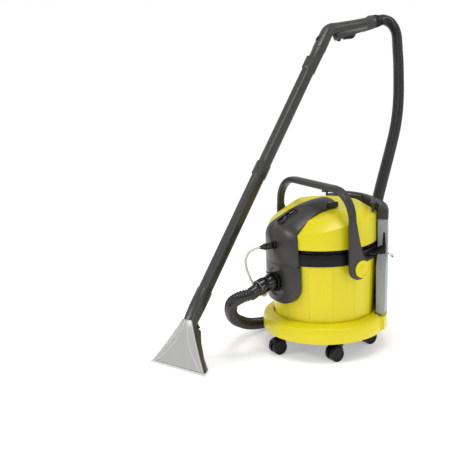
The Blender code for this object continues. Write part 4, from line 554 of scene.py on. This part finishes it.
# ---------------------------------------------------------------- stage
class CLEANER_OT_stage(bpy.types.Operator):
    """Camera, pale floor and soft studio lights"""
    bl_idname = "cleaner.stage"
    bl_label = "Stage"

    def execute(self, context):
        azimuth = radians(CAMERA_AZIMUTH)
        down = radians(CAMERA_DOWN)
        right = Vector((cos(azimuth), sin(azimuth), 0))
        forward = Vector((-sin(azimuth) * cos(down), cos(azimuth) * cos(down), -sin(down)))
        up = right.cross(forward)
        roll = radians(CAMERA_ROLL)
        x = right * cos(roll) + up * sin(roll)
        y = up * cos(roll) - right * sin(roll)
        turn = Matrix((x, y, -forward)).transposed()
        bpy.ops.object.select_all(action='DESELECT')
        bpy.ops.object.camera_add(location=CAMERA_PLACE, rotation=turn.to_euler())
        camera = context.active_object
        camera.name = "camera"
        camera.data.lens = CAMERA_LENS
        camera.data.sensor_width = CAMERA_SENSOR
        context.scene.camera = camera
        context.scene.view_settings.view_transform = 'Standard'
        bpy.ops.object.select_all(action='DESELECT')
        bpy.ops.mesh.primitive_plane_add(size=FLOOR_SIZE, location=(0, 0, FLOOR_HEIGHT - 0.0002))
        floor = context.active_object
        floor.name = "floor"
        # matt painted board, white enough to melt into the backdrop
        paper = plastic("matt_white_board", srgb("#F7F7F6"), 0.85, 0.0020, 0.00002, mottle=0.005)
        glow = paper.node_tree.nodes["Principled BSDF"]
        glow.inputs["Emission Color"].default_value = (1, 1, 1, 1)
        glow.inputs["Emission Strength"].default_value = FLOOR_GLOW
        floor.data.materials.append(paper)
        for name, place, size, power in LIGHTS:
            bpy.ops.object.light_add(type='AREA', location=place)
            lamp = context.active_object
            lamp.name = name
            lamp.data.size = size
            lamp.data.energy = power
            lamp.rotation_euler = (LIGHT_TARGET - Vector(place)).to_track_quat('-Z', 'Y').to_euler()
        world = context.scene.world or bpy.data.worlds.new("studio")
        context.scene.world = world
        world.use_nodes = True
        background = world.node_tree.nodes["Background"]
        background.inputs["Color"].default_value = (1, 1, 1, 1)
        # the backdrop is overexposed to white, while the light it sheds is softer
        seen = add(world.node_tree, 'ShaderNodeLightPath').outputs["Is Camera Ray"]
        strength = add(world.node_tree, 'ShaderNodeMapRange',
                       {"Value": seen, "To Min": BACKDROP_LIGHT, "To Max": BACKDROP_SEEN})
        world.node_tree.links.new(strength.outputs["Result"], background.inputs["Strength"])
        return {'FINISHED'}


# ---------------------------------------------------------------- hose
class CLEANER_OT_hose(bpy.types.Operator):
    """Ribbed suction hose with its spray channel, and the clear spray tube from its plug"""
    bl_idname = "cleaner.hose"
    bl_label = "Hose"

    def execute(self, context):
        s = sizes()
        smooth = smooth_path(HOSE_ROUTE, 0.004)
        rows = 6
        path = even_path(smooth, s.rib_pitch / rows)
        last = len(path) - 1
        profile = (0.0, 0.15, 0.75, 1.0, 0.75, 0.15)      # groove depth along one rib

        def skin(i, angle):
            end = min(i, last - i)
            groove = profile[i % rows] * s.rib_depth if end > 3 * rows else 0.0
            # the spray channel runs along the hose as a smooth strip
            strip = cos(angle)
            if strip > 0.90:
                groove = min(groove, 0.0004)
            return HOSE_RADIUS - groove
        hose = swept("ribbed_suction_hose", path, skin, s.hose_sides, start_side=(1, 0, 0.2))
        hose.data.shade_smooth()
        hose.data.materials.append(library()["hose"])
        connector = dress("hose_connector", s.small_edge, angle=20, material="gloss")
        # grip lugs round the bayonet collar, a thumb lever on top and a bright ring where the sleeve begins
        lugs = []
        for i in range(COLLAR_LUGS):
            angle = 2 * pi * (i + 0.5) / COLLAR_LUGS
            place = INLET + Vector((LUG_RADIUS * sin(angle), -0.0080, LUG_RADIUS * cos(angle)))
            lugs.append(block("lug", (0.0042, 0.0120, 0.0018), place, (0, angle, 0)))
        lever = block("lever", (0.0110, 0.0200, 0.0034), INLET + Vector((0, -0.0120, 0.0300)),
                      (radians(-24), 0, 0))
        post = block("post", (0.0070, 0.0070, 0.0090), INLET + Vector((0, -0.0070, 0.0265)))
        fittings = join("collar_fittings", *lugs, lever, post)
        rounded(fittings, 0.0006, 40, 2)
        seat(fittings, "gloss", "drum")
        ring = hoop("sleeve_ring", 0.0228, 0.0009, INLET + Vector((0, -0.0500, -0.0078)),
                    (0, -0.922, -0.387), sides=40)
        seat(ring, "motor", "drum", 180)
        cuff = dress("hose_cuff", s.small_edge, angle=20)
        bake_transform(hose)
        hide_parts("suction_hose")
        even_path(smooth, 0.02)
        path = smooth_path(SPRAY_ROUTE, 0.003)
        tube = swept("clear_spray_tube", path, lambda i, angle: SPRAY_TUBE_RADIUS, 14)
        tube.data.shade_smooth()
        tube.data.materials.append(library()["clear_tube"])
        plug = dress("spray_plug", 0.0004, angle=20, material="gloss")
        rings = [hoop("plug_ring", 0.0096, 0.0007, (0, y, 0.278), (0, 1, 0), sides=28)
                 for y in (-0.1860, -0.1885, -0.1910, -0.2040, -0.2065)]
        seat(join("plug_grip", *rings), "gloss", "drum", 180)
        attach(tube, "drum")
        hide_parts("spray_tube")
        return {'FINISHED'}


# ---------------------------------------------------------------- machine
class CLEANER_OT_chassis(bpy.types.Operator):
    """Yellow wheel chassis and the plate under it"""
    bl_idname = "cleaner.chassis"
    bl_label = "Chassis"

    def execute(self, context):
        chassis = dress("wheel_chassis", 0.0026, angle=24, segments=3, smooth=40)
        # two raised arcs moulded on the shoulder beside the tank
        for name, start, end, out in (("mark_front", 106.7, 101.8, 0.4), ("mark_rear", 115.2, 110.9, 1.6)):
            over = []
            for i in range(11):
                share = i / 10
                angle = radians(start + (end - start) * share + out * sin(pi * share))
                radius = 0.1640 + 0.0215 * share
                over.append(Vector((radius * sin(angle), -radius * cos(angle), 0.10)))
            line = laid_on(chassis, over, Vector((0, 0, -1)))
            arc = swept(name, line, lambda i, angle: 0.0008, 8)
            seat(arc, "yellow", "drum", 180)
        dress("base_plate", 0.0006)
        return {'FINISHED'}


class CLEANER_OT_casters(bpy.types.Operator):
    """Twin-wheel casters: tyres, hubs and forks"""
    bl_idname = "cleaner.casters"
    bl_label = "Casters"

    def execute(self, context):
        for number in range(1, 6):
            dress(f"caster_fork_{number}", 0.0005)
            node = f"caster_wheels_{number}"
            low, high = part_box(node)
            centre = (low + high) / 2
            radius = (high.z - low.z) / 2
            pair = []
            for side in (1, -1):
                width = (high.x - low.x) / 2 - WHEEL_GAP
                wheel = disc("tyre", radius, width, centre + Vector((side * (WHEEL_GAP + width / 2), 0, 0)),
                             (side, 0, 0), 48)
                # rounded tread edge, then a dished hub with a raised boss
                stepped(wheel, ((0.0035, 0.0), (0.0010, -0.0012), (0.0060, 0.0),
                                (0.0010, 0.0008), (0.0040, 0.0)))
                rounded(wheel, 0.0007, 30)
                pair.append(wheel)
            axle = disc("axle", 0.003, 0.0102, centre, (1, 0, 0), 20)
            wheels = join(f"twin_wheels_{number}", axle, pair[1], pair[0])
            seat(wheels, "black", BODY_OF[node])
            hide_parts(node)
        return {'FINISHED'}


class CLEANER_OT_drum(bpy.types.Operator):
    """Staved drum with its inlet socket and deflector"""
    bl_idname = "cleaner.drum"
    bl_label = "Drum"

    def execute(self, context):
        drum = moulding("drum_tub", 0.0008, 50)
        # a fine V groove down each stave's edge, following the drum's taper
        blades = []
        for number in range(STAVES):
            angle = 2 * pi * (number + 0.5) / STAVES
            middle = (DRUM_LOW + DRUM_HIGH) / 2 + GROOVE_DEEP
            blade = block("blade", (0.0009, 0.0030, 0.2100),
                          (middle * sin(angle), -middle * cos(angle), (SHOULDER_TOP + DRUM_RIM) / 2),
                          (atan2(DRUM_HIGH - DRUM_LOW, DRUM_RIM - SHOULDER_TOP), 0, angle))
            blades.append(blade)
        carve(drum, join("blades", *blades))
        seat(drum, "yellow", "drum", 12)
        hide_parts("drum_tub")
        dress("inlet_socket", sizes().small_edge)
        dress("inlet_deflector", 0.0004)
        return {'FINISHED'}


class CLEANER_OT_panels(bpy.types.Operator):
    """Lower and upper front panels"""
    bl_idname = "cleaner.panels"
    bl_label = "Front panels"

    def execute(self, context):
        lower = moulding("lower_front_panel", 0.0018, 40, 3)
        # shallow round dish about the inlet, with a softened edge
        cutter = disc("dish", DISH_RADIUS, 0.0200, (0, PANEL_FACE - 0.0100, INLET.z), (0, 1, 0), 72)
        rounded(cutter, 0.0030, 60, 4)
        carve(lower, cutter)
        rounded(lower, 0.0006, 55, 2)
        seat(lower, SLOT_OF["lower_front_panel"], BODY_OF["lower_front_panel"])
        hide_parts("lower_front_panel")
        upper = dress("upper_front_panel", 0.0018, angle=40, segments=3)
        dress("spray_socket", 0.0005, material="gloss")
        # faint oval ridge on the skin round the switches
        skin = Vector(SWITCH.to_3x3() @ Vector((0, 0, 1)))
        over = []
        for i in range(65):
            angle = 2 * pi * i / 64
            half = 0.034 if sin(angle) > 0 else -0.034
            over.append(SWITCH @ Vector((0.030 * cos(angle), half + 0.029 * sin(angle), 0.06)))
        ridge = swept("switch_ridge", laid_on(upper, over, -skin), lambda i, angle: 0.0009, 8)
        seat(ridge, SLOT_OF["upper_front_panel"], "head", 180)
        # latch that hangs over the cover at the tail's end, with a finger notch
        latch = block("cover_latch", (0.0110, 0.0340, 0.0150), (0.0555, -0.0015, 0.3835))
        notch = block("notch", (0.0080, 0.0110, 0.0060), (0.0600, -0.0015, 0.3900))
        carve(latch, notch)
        rounded(latch, 0.0016, 30, 3)
        seat(latch, "gloss", "head")
        return {'FINISHED'}


class CLEANER_OT_head(bpy.types.Operator):
    """Head base with its vent ring, and the yellow cover"""
    bl_idname = "cleaner.head"
    bl_label = "Head"

    def execute(self, context):
        dress("head_base", 0.0006)
        dress("head_deck", 0.0004)
        dress("rim_seal", 0.0)
        dress("head_cover", 0.0022, angle=18, segments=3, smooth=14)
        return {'FINISHED'}


class CLEANER_OT_switches(bpy.types.Operator):
    """Switch recess and its two rockers"""
    bl_idname = "cleaner.switches"
    bl_label = "Switches"

    def execute(self, context):
        dress("switch_bezel", 0.0006, material="gloss")
        for node in ("rocker_suction", "rocker_spray"):
            dress(node, 0.0012, angle=20, material="gloss")
        facing = SWITCH.to_3x3() @ Vector((0, 0, 1))
        rim = hoop("recess_rim", 0.0146, 0.0012, (0, 0, 0), stretch=0.022)
        rim.matrix_world = SWITCH @ Matrix.Translation((0, 0, 0.0004))
        seat(rim, "gloss", "head", 180)
        # round button face on the upper rocker, with the raised mark for spray
        low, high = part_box("rocker_spray")
        middle = (low + high) / 2
        top = SWITCH.inverted() @ middle
        face = disc("spray_button", 0.0070, 0.0012, SWITCH @ Vector((0, top.y, 0.0016)), facing, 40)
        stepped(face, ((0.0006, 0.0003), (0.0008, -0.0003)))
        seat(face, "gloss", BODY_OF["rocker_spray"])
        marks = []
        for row, count in enumerate((1, 2, 3)):
            for i in range(count):
                across = (i - (count - 1) / 2) * 0.0021
                spot = SWITCH @ Vector((across, top.y + 0.0022 - row * 0.0020, 0.0022))
                marks.append(disc("drop", 0.00062, 0.0004, spot, facing, 16))
        stem = block("stem", (0.0014, 0.0022, 0.0004), SWITCH @ Vector((0, top.y + 0.0044, 0.0022)),
                     SWITCH.to_euler())
        seat(join("spray_mark", *marks, stem), "pale", BODY_OF["rocker_spray"])
        return {'FINISHED'}


class CLEANER_OT_rear(bpy.types.Operator):
    """Accessory rack, wire hook and cable gland"""
    bl_idname = "cleaner.rear"
    bl_label = "Rear fittings"

    def execute(self, context):
        dress("accessory_rack", 0.0009)
        dress("wire_hook", 0.0, smooth=60)
        dress("cable_gland", 0.0004)
        return {'FINISHED'}


class CLEANER_OT_bail(bpy.types.Operator):
    """Bail handle with its pins and yellow caps"""
    bl_idname = "cleaner.bail"
    bl_label = "Bail handle"

    def execute(self, context):
        bail = moulding("bail_handle", 0.0)
        # one thick moulded strap: arch and feet melt into each other
        apply_modifier(bail, 'REMESH', mode='VOXEL', voxel_size=0.0016)
        apply_modifier(bail, 'SMOOTH', factor=0.5, iterations=26)
        seat(bail, "grey", "bail", 180)
        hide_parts("bail_handle")
        for side, sign in (("left", -1), ("right", 1)):
            dress(f"pivot_pin_{side}", 0.0)
            node = f"pivot_cap_{side}"
            low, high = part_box(node)
            place = ((low.x + high.x) / 2 - 0.0004 * sign, 0, (low.z + high.z) / 2)
            cap = disc(f"dished_cap_{side}", 0.025, 0.0030, place, (sign, 0, 0), 64)
            # a rolled rim round a dished face
            stepped(cap, ((0.0008, 0.0006), (0.0018, 0.0), (0.0014, -0.0020),
                          (0.0100, 0.0004), (0.0040, 0.0002)))
            rounded(cap, 0.0003, 25)
            seat(cap, "yellow", BODY_OF[node])
            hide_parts(node)
        return {'FINISHED'}


class CLEANER_OT_tank(bpy.types.Operator):
    """Clean-water tank, its lid and its valve"""
    bl_idname = "cleaner.tank"
    bl_label = "Water tank"

    def execute(self, context):
        dress("water_tank", 0.0020, angle=30, segments=3)
        dress("tank_lid", 0.0016, angle=30, segments=3)
        dress("tank_valve", 0.0005)
        return {'FINISHED'}


class CLEANER_OT_suction(bpy.types.Operator):
    """Motor, fan, pump, filter and float inside the machine"""
    bl_idname = "cleaner.suction"
    bl_label = "Suction unit"

    def execute(self, context):
        for node, width in (("suction_motor", 0.0008), ("turbine_fan", 0.0), ("spray_pump", 0.0008),
                            ("filter_cage", 0.0004), ("foam_filter", 0.0012), ("safety_float", 0.0010)):
            dress(node, width)
        return {'FINISHED'}


class CLEANER_OT_wand(bpy.types.Operator):
    """The wand's two tubes with their latches"""
    bl_idname = "cleaner.wand"
    bl_label = "Wand tubes"

    def execute(self, context):
        for node in ("lower_tube", "upper_tube"):
            dress(node, 0.0009, angle=38, smooth=16)
        for node in ("tube_latch", "nozzle_latch"):
            dress(node, 0.0009)
        return {'FINISHED'}


class CLEANER_OT_grip(bpy.types.Operator):
    """Elbow grip with its trigger, lock and air slider"""
    bl_idname = "cleaner.grip"
    bl_label = "Grip"

    def execute(self, context):
        dress("grip_shell", 0.0012, angle=25)
        dress("trigger_housing", 0.0016, segments=3)
        for node in ("spray_trigger", "trigger_lock", "air_slider"):
            dress(node, 0.0010)
        # the housing runs on to the hose collar, which has a rolled flange and a release tab on top
        heel = block("housing_heel", (0.0205, 0.0500, 0.0150), (0, 0.1880, -0.0190), (radians(4), 0, 0))
        tab = block("release_tab", (0.0090, 0.0150, 0.0045), (0, 0.2060, 0.0215))
        pieces = join("grip_fittings", heel, tab)
        rounded(pieces, 0.0022, 30, 3)
        pieces.matrix_world = GRIP @ pieces.matrix_world
        seat(pieces, "wand", "wand")
        flange = hoop("collar_flange", 0.0216, 0.0016, (0, COLLAR_END, 0), (0, 1, 0), sides=40)
        flange.matrix_world = GRIP @ Matrix.Translation((0, COLLAR_END, 0)) @ Matrix.Rotation(-pi / 2, 4, 'X')
        seat(flange, "wand", "wand", 180)
        return {'FINISHED'}


class CLEANER_OT_nozzle(bpy.types.Operator):
    """Floor nozzle: body, clear window, lip and jet"""
    bl_idname = "cleaner.nozzle"
    bl_label = "Floor nozzle"

    def execute(self, context):
        dress("nozzle_body", 0.0012, angle=38)
        dress("nozzle_window", 0.0006)
        for side in (1, -1):
            # funnel rib from the neck to the corner, and the bright bead round the window
            for name, top, curve, thick, inset in (("funnel_rib", 0.0075, 2.1, 0.0012, 0.004),
                                                   ("window_bead", 0.0163, 1.12, 0.0010, 0.0005)):
                line = []
                for i in range(25):
                    share = 0.075 + 0.915 * i / 24
                    width = top + (NOZZLE_HALF - inset - top) * (1 - share) ** curve
                    spot = Vector((side * width, WINDOW_RUN * share - 0.0002, WINDOW_HEIGHT * share))
                    line.append(NOZZLE @ spot)
                rib = swept(name, line, lambda i, angle: thick, 8)
                seat(rib, "pale", "wand", 180)
        dress("nozzle_lip", 0.0006)
        dress("spray_jet", 0.0006)
        return {'FINISHED'}


class CLEANER_PT_panel(bpy.types.Panel):
    """Everything the cleaner is made of"""
    bl_idname = "CLEANER_PT_panel"
    bl_label = "Spray-extraction cleaner"
    bl_space_type = 'VIEW_3D'
    bl_region_type = 'UI'
    bl_category = "Cleaner"

    def draw(self, context):
        for group in (colours(), sizes()):
            for name in group.__annotations__:
                self.layout.prop(group, name)
        for operator in OPERATORS:
            self.layout.operator(operator.bl_idname)


OPERATORS = (CLEANER_OT_stage, CLEANER_OT_hose, CLEANER_OT_chassis, CLEANER_OT_casters, CLEANER_OT_drum,
             CLEANER_OT_panels, CLEANER_OT_head, CLEANER_OT_switches, CLEANER_OT_rear, CLEANER_OT_bail,
             CLEANER_OT_tank, CLEANER_OT_suction, CLEANER_OT_wand, CLEANER_OT_grip, CLEANER_OT_nozzle)
CLASSES = (CleanerColours, CleanerSizes, *OPERATORS, CLEANER_PT_panel)


def register():
    for cls in CLASSES:
        bpy.utils.register_class(cls)
    bpy.types.Scene.cleaner_colours = PointerProperty(type=CleanerColours)
    bpy.types.Scene.cleaner_sizes = PointerProperty(type=CleanerSizes)


def unregister():
    del bpy.types.Scene.cleaner_sizes
    del bpy.types.Scene.cleaner_colours
    for cls in reversed(CLASSES):
        bpy.utils.unregister_class(cls)


def main():
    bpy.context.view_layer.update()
    register()
    for operator in OPERATORS:
        group, name = operator.bl_idname.split(".")
        getattr(getattr(bpy.ops, group), name)()


if __name__ == "__main__":
    main()
